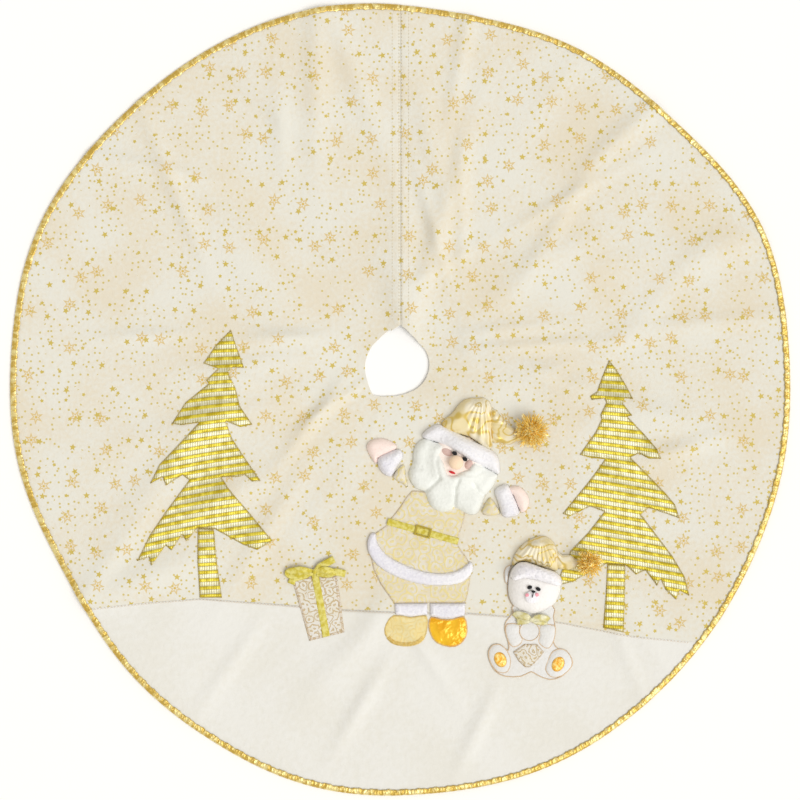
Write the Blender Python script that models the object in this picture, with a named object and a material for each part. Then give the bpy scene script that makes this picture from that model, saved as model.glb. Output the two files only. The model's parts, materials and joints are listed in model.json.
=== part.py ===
"""Christmas tree skirt with a slit, two fold-back flaps, appliques and two stuffed dolls.

Metres, +Z up. The origin is at the centre of the skirt on the floor, +Y runs
along the slit, and +X is on the right when the skirt is seen from above.
Outlines are written in millimetres and scaled by MM where a piece is made.
"""

import math

import bmesh
import bpy
from mathutils import Matrix, Vector

MM = 0.001

# ---------------------------------------------------------------- sizes, mm
SKIRT_RADIUS = 600.0
RIM_STEP = 3.0                # degrees between points of the rim
SEAM_GAP = 0.3                # clearance between pieces that touch

LINING_THICK = 0.8
CLOTH_THICK = 1.8             # brushed fleece with its pile
BINDING_WIDTH = 8.4
BINDING_THICK = 0.6
APPLIQUE_THICK = 1.2
RIBBON_THICK = 0.5

HOLE_RADIUS = 49.0            # opening for the trunk
HOLE_CENTRE = (-5.0, 50.0)
HOLE_PEAK_Y = 110.0           # where the slit meets the opening
HOLE_STEP = 10.0              # degrees between points of the opening

SLIT_WIDTH = 1.0
SLIT_FACING = 15.0            # width of the hem tape along the slit
FOLD_RIM_ANGLE = 30.0         # flap's fold line, measured from the slit at the rim
FOLD_HOLE_ANGLE = 80.0        # the same, measured around the opening
FOLD_AXIS_RISE = 0.7          # fold axis above the binding's top
BINDING_END_GAP = 0.1         # degrees between the bindings of skirt and flap

FUR_THICK = 5.0
ARM_THICK = 8.0
HEAD_THICK = 14.0
BEARD_THICK = 8.0
BRIM_THICK = 10.0
BEAR_BRIM_THICK = 8.0
HAT_THICK = 13.0
TIP_THICK = 12.0
SANTA_POMPOM_RADIUS = 22.0
BEAR_POMPOM_RADIUS = 17.0
BEAR_HEAD_THICK = 20.0
BEAR_EAR_THICK = 6.0
GIFT_BOW_THICK = 5.0
PARCEL_THICK = 2.0
POMPOM_GAP = 1.0              # between a pompom and the hat tip that it hangs from

# ------------------------- rounding of a stuffed rim, as a share of its thickness
ROUND_EDGE = 0.3
HEAD_EDGE = 0.15
PLUSH_EDGE = 0.2
HAT_EDGE = 0.25
BEAR_HEAD_EDGE = 0.35

# ----------------------------------------------------------- levels, mm
CLOTH_BOTTOM = LINING_THICK + SEAM_GAP
CLOTH_TOP = CLOTH_BOTTOM + CLOTH_THICK
ON_CLOTH = CLOTH_TOP + SEAM_GAP
BINDING_TOP = ON_CLOTH + BINDING_THICK
ON_APPLIQUE = ON_CLOTH + APPLIQUE_THICK + SEAM_GAP
ON_HEAD = ON_CLOTH + HEAD_THICK + SEAM_GAP
FOLD_AXIS_Z = BINDING_TOP + FOLD_AXIS_RISE
CLOTH_RADIUS = SKIRT_RADIUS - BINDING_THICK - SEAM_GAP
LINING_RADIUS = SKIRT_RADIUS - BINDING_WIDTH - SEAM_GAP

# -------------------------------------------------------- outlines, mm
SNOW_SEAM = [(-460, -320), (-383, -312), (-304, -306), (-183, -315), (-86, -323),
             (0, -326), (106, -328), (190, -335), (248, -343), (303, -354),
             (350, -363), (410, -369)]
SEAM_LEFT_Y = -326.0
SEAM_RIGHT_Y = -375.0

LEFT_TREE = [(-258, 103), (-250, 78), (-238, 45), (-256, 46), (-262, 38), (-251, 14),
             (-245, -12), (-226, -41), (-244, -45), (-266, -36), (-257, -62),
             (-236, -94), (-213, -127), (-226, -128), (-238, -117), (-246, -121),
             (-273, -121), (-262, -138), (-232, -174), (-195, -218), (-218, -232),
             (-240, -224), (-264, -211), (-284, -200), (-309, -198.5), (-326, -219),
             (-333, -209), (-349, -233), (-358, -225), (-379, -256), (-383, -243),
             (-401, -249), (-382, -210), (-356, -172), (-322, -126), (-332, -118),
             (-357, -134), (-362, -121), (-381, -131), (-367, -102), (-338, -72),
             (-306, -38), (-334, -42), (-348, -40), (-328, -8), (-292, 21),
             (-296, 26), (-277, 44), (-300, 52), (-281, 80)]
LEFT_TRUNK = [(-309, -198.9), (-284.4, -200.4), (-280, -250), (-272, -305), (-306, -305),
              (-309, -250)]
RIGHT_TREE = [(318, 57), (331, 40), (344, 18), (354, -2), (341, -1), (338, -9),
              (352, -27), (345, -29), (372, -57), (389, -77), (396, -93), (378, -93),
              (363, -85), (350, -91), (374, -115), (405, -147), (419, -164),
              (425, -184), (405, -177), (378, -168), (366, -178), (392, -212),
              (414, -241), (433, -273), (440, -302), (425, -294), (420, -308),
              (404, -293), (396, -276), (391, -287), (373, -263), (359, -270),
              (343, -255), (315, -253), (298, -262), (262, -281), (236, -288),
              (259, -234), (286, -206), (311, -174), (289, -166), (258, -181),
              (247, -177), (283, -133), (312, -94), (290, -92), (273, -87),
              (297, -53), (306, -33), (304, -27), (313, -8), (310, -1), (291, -4),
              (288, 2), (299, 9), (308, 33)]
RIGHT_TRUNK = [(315.3, -253.5), (342.6, -255.5), (342, -300), (340, -358), (309, -351),
               (313, -300)]

GIFT_PANEL = [(-166, -275), (-97, -271), (-85.5, -358), (-139, -371)]
GIFT_RIBBON = [(-137, -264), (-126, -264), (-107.5, -363), (-118.5, -366)]
GIFT_BOW = [(-171, -268), (-160, -260), (-140, -258), (-131, -261), (-120, -249),
            (-106, -242), (-99, -249), (-110, -257), (-122, -263), (-105, -260),
            (-86, -266), (-105, -271), (-126, -269), (-134, -269), (-145, -273),
            (-163, -276)]
GIFT_KNOT = (-131, -265)

COAT_HEM = [(-42, -209), (-44, -224), (-33, -243), (-12, -258), (14, -270), (45, -277),
            (75, -277), (97, -268), (108, -256)]
COAT_SIDES = [(98, -240), (88, -226), (88, -212), (96, -190), (98, -165), (88, -146),
              (45, -146), (18, -142), (0, -166), (-14, -184), (-21, -195)]
COAT_FUR_INNER = [(-38, -207), (-35, -222), (-22, -239), (-2, -251), (25, -262),
                  (48, -267), (75, -267), (95, -259), (106, -250)]
COAT_FUR_OUTER = [(111, -258), (107, -270), (95, -281), (75, -286), (42, -286),
                  (10, -279), (-15, -269), (-36, -255), (-48, -238), (-51, -222),
                  (-46, -208)]
TROUSER_SIDES = [(106, -280), (103, -298), (99, -313), (-10, -313), (-30, -285),
                 (-41, -262), (-46, -240)]
LEG_CUFFS = {
    "santa_left_leg_cuff": [(-9, -313.5), (41, -313.5), (41, -331), (16, -334), (-8, -330)],
    "santa_right_leg_cuff": [(45, -313.5), (99, -313.5), (98, -332), (80, -336.5),
                             (62, -336.5), (45, -333)],
}
BOOTS = {
    "santa_left_boot": [(-10, -331), (16, -335), (39, -332), (41, -350), (36, -368),
                        (22, -377), (5, -379), (-14, -374), (-24, -360), (-22, -345)],
    "santa_right_boot": [(46, -334), (62, -337.5), (80, -337.5), (97, -333.5), (102, -350),
                         (100, -365), (90, -377), (75, -380.5), (55, -374), (46, -362),
                         (42.5, -348)],
}
BELT_START = (-20.0, -189.0)
BELT_END = (88.0, -219.5)
BELT_WIDTH = 10.5
BUCKLE_CENTRE_SHARE = 0.5     # where along the belt the buckle is stored
BUCKLE_LENGTH = 25.0
BUCKLE_RAIL = 2.4
BUCKLE_BAR = 3.0
BUCKLE_TOP_THICK = 1.6
BUCKLE_STEP = 0.2             # the bars stand this far back from the rails' faces

ARMS = {
    "left": {
        "sleeve": [(-3, -108), (3, -102), (6.5, -105), (8, -119), (11, -136), (2, -131),
                   (-12.5, -121.5)],
        "cuff": [(-35, -94), (-20, -85), (-2, -79), (3.5, -90), (-6, -105), (-14.5, -120),
                 (-29, -113)],
        "mitten": [(-37, -100), (-45, -88), (-50, -75), (-43, -66.5), (-28, -64),
                   (-14, -69), (-7, -76), (-20, -83), (-36.5, -92)],
        "shoulder": [(7.5, -103), (12.5, -138)],
    },
    "right": {
        "sleeve": [(134, -154), (139, -154), (146, -164), (152, -177), (133, -180),
                   (123, -174)],
        "cuff": [(144, -143), (153, -135), (163, -133), (171, -149), (181, -175),
                 (170, -181), (156.5, -181), (150, -163)],
        "mitten": [(166.5, -138), (180, -137), (191, -148), (194, -162), (185, -174),
                   (174, -149)],
        "shoulder": [(134, -153), (121, -175)],
    },
}

HEAD_CENTRE = (86, -98)
HEAD_RADIUS = 42.0
BEARD = [(36, -63), (24, -73), (20, -86), (20, -98), (14, -113), (15, -126), (24, -138),
         (36, -142), (41, -152), (45, -163), (54, -171), (67, -174), (78, -171),
         (83, -167), (91, -171), (106, -178), (117, -175), (123, -164), (128, -149),
         (138, -138), (144, -126), (147, -118), (133, -109), (113, -99), (104, -110),
         (92, -114), (84, -119), (71, -117), (65, -101), (60, -87), (66, -75), (50, -67)]
HAT_BRIM = [(34, -60), (39, -52), (49, -45), (60, -42), (80, -51.5), (100, -62),
            (118, -71), (137, -80), (147, -90), (150, -105), (149, -116), (133, -107.5),
            (110, -96), (84, -80), (70, -72), (50, -65)]
HAT_CROWN = [(64, -44), (70, -33), (79, -26), (90, -12), (100, -4), (116, -2), (129, -3),
             (136, -12), (138, -30), (138.5, -50), (138.5, -66), (136, -78), (121, -69),
             (104, -57.5), (84, -53)]
HAT_TIP = [(140.5, -16), (152, -26), (163, -39), (174, -48), (181, -55), (180, -63),
           (166, -72), (152, -69), (141, -65)]
SANTA_POMPOM_BEARING = 10.0   # degrees, from the end of the tip to the pompom
NOSE_CENTRE = (85, -98)
NOSE_RADIUS = 12.0
NOSE_HEIGHT = 16.0
EYES = {"santa_left_eye": (80, -83), "santa_right_eye": (99, -91.5)}
EYE_RADIUS = 3.4
EYE_THICK = 1.5

BEAR_BODY = [(172, -316), (232, -316), (234, -334), (237, -352), (234, -372), (241, -382),
             (253, -385), (262, -398), (262, -410), (246, -426), (227, -431), (208, -424),
             (199, -419), (184, -426), (160, -426), (144, -418), (135, -402), (133, -387),
             (141, -376), (153, -376), (164, -385), (163, -372), (158, -355), (160, -341),
             (171, -328)]
BEAR_ARMS = {
    "bear_left_arm": [(163, -345), (160, -356), (164, -371), (171, -380), (181, -377),
                      (186, -369), (181, -358), (181, -346)],
    "bear_right_arm": [(213, -347), (234, -347), (236, -358), (233, -372), (226, -382),
                       (217, -380), (210, -372), (212, -362)],
}
BEAR_FEET = {
    "bear_left_foot": [(134, -388), (141, -377), (153, -377), (163, -387), (168, -402),
                       (163, -418), (148, -418), (137, -404)],
    "bear_right_foot": [(224, -402), (231, -388), (243, -383), (254, -387), (261, -399),
                        (260, -411), (246, -424), (230, -426), (221, -415)],
}
SOLE_SIZE = (18.0, 24.0)
BEAR_SOLES = {"bear_left_sole": ((152, -399), 25.0), "bear_right_sole": ((240, -406), -30.0)}
BEAR_PARCEL = [(172, -388), (189, -375.5), (208, -375.5), (219, -388), (204, -405),
               (197, -411), (190, -411), (180, -402)]
BEAR_HEAD = [(164, -284), (167, -267), (176, -254), (190, -250), (214, -258), (237, -266),
             (245, -278), (243, -296), (237, -311), (226, -321), (205, -330), (188, -326),
             (173, -318), (165, -303)]
BEAR_EAR = [(169, -256), (161, -259), (158, -269), (159.5, -281), (162.5, -283),
            (165, -267)]
BEAR_MUZZLE = (198.5, -302)
BEAR_MUZZLE_RADIUS = 10.0
BEAR_MUZZLE_HEIGHT = 9.0
BEAR_BOW = [(174, -327), (188, -331), (199, -336), (212, -334), (224, -335), (223, -342),
            (210, -345), (199, -341), (188, -343), (176, -338)]
BEAR_BOW_THICK = 6.0
BEAR_HAT_CROWN = [(171, -256), (174, -243), (182, -230), (196, -219), (213, -212),
                  (227, -216), (236, -227), (239, -240), (239, -259), (235, -263),
                  (214, -256.5), (190, -248.5), (177, -251)]
BEAR_BRIM = [(168, -268), (176, -255), (190, -251), (214, -259), (236, -266.5), (243.5, -277),
             (241.5, -285), (224, -280), (205, -275), (186, -272), (172, -276)]
BEAR_HAT_TIP = [(240.5, -233), (248, -240), (258, -239), (267, -246), (273, -252),
                (262, -262), (250, -262), (241, -259)]
BEAR_POMPOM_BEARING = 0.0


# ---------------------------------------------------------------- helpers
def clear_scene():
    for obj in list(bpy.data.objects):
        bpy.data.objects.remove(obj, do_unlink=True)
    for collection in list(bpy.data.collections):
        bpy.data.collections.remove(collection)


def new_collection(name):
    collection = bpy.data.collections.new(name)
    bpy.context.scene.collection.children.link(collection)
    return collection


def make_material(name, colour, roughness, metallic=0.0):
    material = bpy.data.materials.new(name)
    material.use_nodes = True
    shader = material.node_tree.nodes["Principled BSDF"]
    shader.inputs["Base Color"].default_value = (*colour, 1.0)
    shader.inputs["Roughness"].default_value = roughness
    shader.inputs["Metallic"].default_value = metallic
    return material


def polar(radius, degrees, centre=(0.0, 0.0)):
    angle = math.radians(degrees)
    return (centre[0] + radius * math.cos(angle), centre[1] + radius * math.sin(angle))


def arc(radius, start, end, step, centre=(0.0, 0.0)):
    """Points on a circle from start to end, in degrees."""
    count = max(1, round(abs(end - start) / step))
    return [polar(radius, start + (end - start) * i / count, centre) for i in range(count + 1)]


def smooth_span(p0, p1, p2, p3, steps):
    """Points from p1 up to p2 on a Catmull-Rom curve."""
    p0, p1, p2, p3 = Vector(p0), Vector(p1), Vector(p2), Vector(p3)
    span = []
    for step in range(steps):
        t = step / steps
        bend = (2 * p0 - 5 * p1 + 4 * p2 - p3) * t * t
        twist = (3 * p1 - p0 - 3 * p2 + p3) * t * t * t
        span.append(tuple(0.5 * (2 * p1 + (p2 - p0) * t + bend + twist)))
    return span


def smooth_loop(points, steps=2):
    """A closed smooth curve through the points."""
    loop = []
    for i in range(len(points)):
        loop += smooth_span(*(points[(i + k - 1) % len(points)] for k in range(4)), steps)
    return loop


def smooth_line(points, steps=2):
    """An open smooth curve through the points."""
    padded = [points[0], *points, points[-1]]
    line = []
    for i in range(len(points) - 1):
        line += smooth_span(*padded[i:i + 4], steps)
    return line + [points[-1]]


def cut_sheet(name, outline, bottom, thickness, material):
    """A flat piece cut to an outline."""
    curve = bpy.data.curves.new(name, "CURVE")
    curve.dimensions = "2D"
    curve.fill_mode = "BOTH"
    curve.resolution_u = 1
    curve.extrude = thickness / 2 * MM
    spline = curve.splines.new("POLY")
    spline.points.add(len(outline) - 1)
    for point, (x, y) in zip(spline.points, outline):
        point.co = (x * MM, y * MM, 0.0, 1.0)
    spline.use_cyclic_u = True
    curve.materials.append(material)
    obj = bpy.data.objects.new(name, curve)
    obj.location.z = (bottom + thickness / 2) * MM
    PARTS.objects.link(obj)
    return obj


def stuffed(name, outline, bottom, thickness, material, edge_share=ROUND_EDGE, steps=2):
    """A padded piece: a smooth outline with well rounded rims."""
    def build(shape):
        points = smooth_loop(outline, steps) if steps > 1 else outline
        ring = [shape.verts.new((x * MM, y * MM, bottom * MM)) for x, y in points]
        base = shape.faces.new(ring)
        wall = bmesh.ops.extrude_face_region(shape, geom=[base])
        top = [item for item in wall["geom"] if isinstance(item, bmesh.types.BMVert)]
        bmesh.ops.translate(shape, vec=(0, 0, thickness * MM), verts=top)
        bmesh.ops.recalc_face_normals(shape, faces=shape.faces)
        rims = [edge for edge in shape.edges if edge.verts[0].co.z == edge.verts[1].co.z]
        bmesh.ops.bevel(shape, geom=rims, offset=thickness * edge_share * MM, segments=1,
                        profile=0.5, affect="EDGES", material=-1, clamp_overlap=True)
    return mesh_object(name, build, material)


def mesh_object(name, mesh_builder, material, smooth=True):
    mesh = bpy.data.meshes.new(name)
    shape = bmesh.new()
    mesh_builder(shape)
    shape.to_mesh(mesh)
    shape.free()
    mesh.materials.append(material)
    if smooth:
        mesh.shade_smooth()
    obj = bpy.data.objects.new(name, mesh)
    PARTS.objects.link(obj)
    return obj


def ball(name, centre, radius, bottom, height, material, segments=20, rings=12):
    """A round or flattened ball that rests on the level bottom."""
    def build(shape):
        bmesh.ops.create_uvsphere(shape, u_segments=segments, v_segments=rings, radius=1.0)
        bmesh.ops.scale(shape, vec=(radius * MM, radius * MM, height / 2 * MM), verts=shape.verts)
    obj = mesh_object(name, build, material)
    obj.location = (centre[0] * MM, centre[1] * MM, (bottom + height / 2) * MM)
    return obj


def hinge_empty(name, x, y, z):
    empty = bpy.data.objects.new(name, None)
    empty.location = (x * MM, y * MM, z * MM)
    empty.empty_display_size = 0.02
    PARTS.objects.link(empty)
    return empty


def hang_on(empty, pieces):
    """Parent pieces to an empty on their joint's axis, leaving them where they are."""
    for piece in pieces:
        piece.parent = empty
        piece.matrix_parent_inverse = Matrix.Translation(empty.location).inverted()


# ----------------------------------------------------------------- skirt
def fold_ends(side):
    """The fold line of a flap: its end at the opening and its end at the rim."""
    inner = polar(HOLE_RADIUS, 90 - side * FOLD_HOLE_ANGLE, HOLE_CENTRE)
    outer = polar(SKIRT_RADIUS, 90 - side * FOLD_RIM_ANGLE)
    return Vector(inner), Vector(outer)


def fold_edge(side, radius, towards_slit):
    """The fold line moved half a seam gap to one side and ended at a radius."""
    inner, outer = fold_ends(side)
    along = (outer - inner).normalized()
    across = Vector((-along.y, along.x)) * side * (1 if towards_slit else -1)
    start = inner + across * SEAM_GAP / 2
    end = start + along * (outer - inner).length
    shift = end.length - radius
    for _ in range(4):
        end = end - along * shift
        shift = end.length - radius
    return start, end


def rim_arc(radius, start_point, end_point, turn):
    """Rim points between two points, at whole steps; turn is +1 counter-clockwise."""
    start = math.degrees(math.atan2(start_point.y, start_point.x))
    end = math.degrees(math.atan2(end_point.y, end_point.x))
    if turn > 0 and end < start:
        end += 360
    if turn < 0 and end > start:
        end -= 360
    first = math.floor(start / RIM_STEP + turn * 0.5 + 0.5) * RIM_STEP
    points = []
    angle = first
    while (end - angle) * turn > RIM_STEP * 0.25:
        if (angle - start) * turn > RIM_STEP * 0.25:
            points.append(polar(radius, angle))
        angle += turn * RIM_STEP
    return points


def hole_arc(start_point, end_point, turn):
    """Points around the opening between two points of it."""
    centre = Vector(HOLE_CENTRE)
    a = start_point - centre
    b = end_point - centre
    start = math.degrees(math.atan2(a.y, a.x))
    end = math.degrees(math.atan2(b.y, b.x))
    if turn > 0 and end < start:
        end += 360
    if turn < 0 and end > start:
        end -= 360
    return arc(HOLE_RADIUS, start, end, HOLE_STEP, HOLE_CENTRE)[1:-1]


def seam_line(offset):
    """The seam between the star cloth and the snow cloth, from left to right."""
    left_x = -math.sqrt(CLOTH_RADIUS ** 2 - (SEAM_LEFT_Y + offset) ** 2)
    right_x = math.sqrt(CLOTH_RADIUS ** 2 - (SEAM_RIGHT_Y + offset) ** 2)
    middle = [(x, y + offset) for x, y in SNOW_SEAM if left_x < x < right_x]
    return [(left_x, SEAM_LEFT_Y + offset), *middle, (right_x, SEAM_RIGHT_Y + offset)]


def skirt_outline(radius, seam=None):
    """The skirt without its flaps, as a C around the opening."""
    left_in, left_out = fold_edge(-1, radius, towards_slit=False)
    right_in, right_out = fold_edge(1, radius, towards_slit=False)
    if seam:
        first, last = Vector(seam[0]), Vector(seam[-1])
        rim = rim_arc(radius, left_out, first, 1) + seam + rim_arc(radius, last, right_out, 1)
    else:
        rim = rim_arc(radius, left_out, right_out, 1)
    opening = hole_arc(right_in, left_in, -1)
    return [tuple(left_out), *rim, tuple(right_out), tuple(right_in), *opening, tuple(left_in)]


def hole_tangent(side, peak):
    """Where the straight run to the peak touches the opening's circle."""
    to_peak = peak - Vector(HOLE_CENTRE)
    spread = math.degrees(math.acos(HOLE_RADIUS / to_peak.length))
    bearing = math.degrees(math.atan2(to_peak.y, to_peak.x))
    return Vector(polar(HOLE_RADIUS, bearing - side * spread, HOLE_CENTRE))


def flap_outline(side, radius, from_slit):
    """A flap between its fold line and a line beside the slit."""
    start, end = fold_edge(side, radius, towards_slit=True)
    edge_x = side * from_slit
    peak = Vector((side * SLIT_WIDTH / 2, HOLE_PEAK_Y))
    tangent = hole_tangent(side, peak)
    slope = (peak.y - tangent.y) / (peak.x - tangent.x)
    slit_low = Vector((edge_x, tangent.y + slope * (edge_x - tangent.x)))
    slit_high = Vector((edge_x, math.sqrt(radius ** 2 - edge_x ** 2)))
    opening = hole_arc(start, tangent, side)
    rim = rim_arc(radius, slit_high, end, -side)
    return [tuple(start), *opening, tuple(tangent), tuple(slit_low), tuple(slit_high), *rim,
            tuple(end)]


def facing_outline(side):
    """The hem tape under a slit edge."""
    inside = side * SLIT_WIDTH / 2
    outside = side * SLIT_FACING
    peak = Vector((inside, HOLE_PEAK_Y))
    tangent = hole_tangent(side, peak)
    slope = (peak.y - tangent.y) / (peak.x - tangent.x)
    return [(inside, HOLE_PEAK_Y), (outside, tangent.y + slope * (outside - tangent.x)),
            (outside, math.sqrt(LINING_RADIUS ** 2 - outside ** 2)),
            (inside, math.sqrt(LINING_RADIUS ** 2 - inside ** 2))]


def binding(name, start, end, material):
    """Folded tape that wraps the rim from start to end, in degrees."""
    outer = SKIRT_RADIUS
    inner = SKIRT_RADIUS - BINDING_WIDTH
    wall = SKIRT_RADIUS - BINDING_THICK
    profile = [(outer, 0.0), (outer, BINDING_TOP), (inner, BINDING_TOP),
               (inner, BINDING_TOP - BINDING_THICK), (wall, BINDING_TOP - BINDING_THICK),
               (wall, LINING_THICK), (inner, LINING_THICK), (inner, 0.0)]
    whole_start = math.ceil(start / RIM_STEP) * RIM_STEP
    stops = [start]
    angle = whole_start
    while angle < end:
        if angle - start > RIM_STEP * 0.2 and end - angle > RIM_STEP * 0.2:
            stops.append(angle)
        angle += RIM_STEP
    stops.append(end)

    def build(shape):
        loops = []
        for stop in stops:
            ring = []
            for radius, height in profile:
                x, y = polar(radius, stop)
                ring.append(shape.verts.new((x * MM, y * MM, height * MM)))
            edges = [shape.edges.new((ring[k], ring[(k + 1) % len(ring)])) for k in range(len(ring))]
            loops.append((ring, edges))
        for (_, before), (_, after) in zip(loops, loops[1:]):
            bmesh.ops.bridge_loops(shape, edges=before + after)
        shape.faces.new(loops[0][0])
        shape.faces.new(loops[-1][0])
        bmesh.ops.recalc_face_normals(shape, faces=shape.faces)
    return mesh_object(name, build, material, smooth=False)


def make_skirt(fleece, snow, lining_cloth, lame):
    star_seam = seam_line(SEAM_GAP / 2)
    snow_seam = seam_line(-SEAM_GAP / 2)
    cut_sheet("lining", skirt_outline(LINING_RADIUS), 0.0, LINING_THICK, lining_cloth)
    cut_sheet("star_cloth", skirt_outline(CLOTH_RADIUS, star_seam), CLOTH_BOTTOM, CLOTH_THICK,
              fleece)
    snow_rim = rim_arc(CLOTH_RADIUS, Vector(snow_seam[0]), Vector(snow_seam[-1]), 1)
    cut_sheet("snow_cloth", snow_rim + snow_seam[::-1], CLOTH_BOTTOM, CLOTH_THICK, snow)
    first = 90 + FOLD_RIM_ANGLE + BINDING_END_GAP
    last = 450 - FOLD_RIM_ANGLE - BINDING_END_GAP
    binding("edge_binding", first, last, lame)


def make_flap(word, side, fleece, lining_cloth, lame):
    cloth = cut_sheet(f"{word}_flap_cloth", flap_outline(side, CLOTH_RADIUS, SLIT_WIDTH / 2),
                      CLOTH_BOTTOM, CLOTH_THICK, fleece)
    lining = cut_sheet(f"{word}_flap_lining",
                       flap_outline(side, LINING_RADIUS, SLIT_FACING + SEAM_GAP),
                       0.0, LINING_THICK, lining_cloth)
    facing = cut_sheet(f"{word}_slit_facing", facing_outline(side), 0.0, LINING_THICK,
                       lining_cloth)
    slit_angle = math.degrees(SLIT_WIDTH / 2 / SKIRT_RADIUS)
    fold_angle = FOLD_RIM_ANGLE - BINDING_END_GAP
    ends = sorted((90 - side * slit_angle, 90 - side * fold_angle))
    rim = binding(f"{word}_flap_binding", ends[0], ends[1], lame)
    inner, outer = fold_ends(side)
    middle = (inner + outer) / 2
    empty = hinge_empty(f"{word}_fold_axis", middle.x, middle.y, FOLD_AXIS_Z)
    hang_on(empty, [cloth, lining, facing, rim])


# ------------------------------------------------------- flat appliques
def make_trees(gold_stripe):
    for name, outline in (("left_tree", LEFT_TREE), ("left_tree_trunk", LEFT_TRUNK),
                          ("right_tree", RIGHT_TREE), ("right_tree_trunk", RIGHT_TRUNK)):
        cut_sheet(name, outline, ON_CLOTH, APPLIQUE_THICK, gold_stripe)


def make_gift(brocade, ribbon):
    cut_sheet("gift_panel", GIFT_PANEL, ON_CLOTH, APPLIQUE_THICK, brocade)
    cut_sheet("gift_ribbon", GIFT_RIBBON, ON_APPLIQUE, RIBBON_THICK, ribbon)
    bow_level = ON_APPLIQUE + RIBBON_THICK + SEAM_GAP
    bow = cut_sheet("gift_bow", GIFT_BOW, bow_level, GIFT_BOW_THICK, ribbon)
    hang_on(hinge_empty("gift_bow_axis", *GIFT_KNOT, bow_level), [bow])


# -------------------------------------------------------- Father Christmas
def make_clothes(jacquard, fur, tan_boot, foil_boot):
    hem = smooth_line(COAT_HEM)
    sides = smooth_line(COAT_SIDES)
    cut_sheet("santa_coat", hem + sides, ON_CLOTH, APPLIQUE_THICK, jacquard)
    hem_below = [(x, y - 2 * SEAM_GAP) for x, y in hem[2:]]
    cut_sheet("santa_trousers", hem_below + TROUSER_SIDES, ON_CLOTH, APPLIQUE_THICK, jacquard)
    stuffed("santa_coat_fur", COAT_FUR_INNER + COAT_FUR_OUTER, ON_APPLIQUE, FUR_THICK, fur)
    for name, outline in LEG_CUFFS.items():
        cut_sheet(name, outline, ON_CLOTH, FUR_THICK, fur)
    boot_cloths = {"santa_left_boot": tan_boot, "santa_right_boot": foil_boot}
    for name, outline in BOOTS.items():
        cut_sheet(name, smooth_loop(outline), ON_CLOTH, APPLIQUE_THICK, boot_cloths[name])


def box(centre, size, angle):
    """A box solid for the buckle, turned about the vertical."""
    shape = bmesh.new()
    bmesh.ops.create_cube(shape, size=1.0)
    bmesh.ops.scale(shape, vec=Vector(size) * MM, verts=shape.verts)
    bmesh.ops.rotate(shape, cent=(0, 0, 0), matrix=Matrix.Rotation(angle, 3, "Z"),
                     verts=shape.verts)
    bmesh.ops.translate(shape, vec=Vector(centre) * MM, verts=shape.verts)
    mesh = bpy.data.meshes.new("buckle_bar")
    shape.to_mesh(mesh)
    shape.free()
    return mesh


def make_belt(ribbon, metal):
    start, end = Vector(BELT_START), Vector(BELT_END)
    along = (end - start).normalized()
    across = Vector((-along.y, along.x))
    half = BELT_WIDTH / 2
    bar_level = ON_APPLIQUE
    belt_level = bar_level + RIBBON_THICK + SEAM_GAP
    corners = [start - across * half, end - across * half, end + across * half,
               start + across * half]
    cut_sheet("santa_belt", [tuple(c) for c in corners], belt_level, RIBBON_THICK, ribbon)

    middle = start.lerp(end, BUCKLE_CENTRE_SHARE)
    angle = math.atan2(along.y, along.x)
    top_level = belt_level + RIBBON_THICK + SEAM_GAP
    top = top_level + BUCKLE_TOP_THICK
    rail_out = half + SEAM_GAP + BUCKLE_RAIL / 2
    bar_width = 2 * rail_out
    bar_out = (BUCKLE_LENGTH - BUCKLE_BAR) / 2 - BUCKLE_STEP
    bar_thick = BUCKLE_TOP_THICK - BUCKLE_STEP

    def place(x, y, z):
        spot = middle + along * x + across * y
        return (spot.x, spot.y, z)

    centre_bar = (BUCKLE_BAR, bar_width, RIBBON_THICK - BUCKLE_STEP)
    bars = [box(place(0, 0, bar_level + (RIBBON_THICK + BUCKLE_STEP) / 2), centre_bar, angle)]
    for sign in (-1, 1):
        bars.append(box(place(sign * bar_out, 0, top_level + bar_thick / 2),
                        (BUCKLE_BAR, bar_width, bar_thick), angle))
    rails = [box(place(0, sign * rail_out, (bar_level + top) / 2),
                 (BUCKLE_LENGTH, BUCKLE_RAIL, top - bar_level), angle) for sign in (-1, 1)]
    buckle = bpy.data.objects.new("santa_buckle", rails[0])
    rails[0].materials.append(metal)
    PARTS.objects.link(buckle)
    for number, mesh in enumerate([*bars, rails[1]]):
        cutter = bpy.data.objects.new(f"buckle_bar_{number}", mesh)
        cutter.hide_render = True
        cutter.display_type = "WIRE"
        CUTTERS.objects.link(cutter)
        union = buckle.modifiers.new(f"join_{number}", "BOOLEAN")
        union.operation = "UNION"
        union.object = cutter


def make_arm(word, jacquard, fur, skin):
    outlines = ARMS[word]
    cloths = {"sleeve": jacquard, "cuff": fur, "mitten": skin}
    pieces = [stuffed(f"santa_{word}_{name}", outlines[name], ON_CLOTH, ARM_THICK, cloth)
              for name, cloth in cloths.items()]
    first, last = (Vector(p) for p in outlines["shoulder"])
    middle = (first + last) / 2
    hang_on(hinge_empty(f"{word}_shoulder_axis", middle.x, middle.y, ON_CLOTH), pieces)


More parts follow.
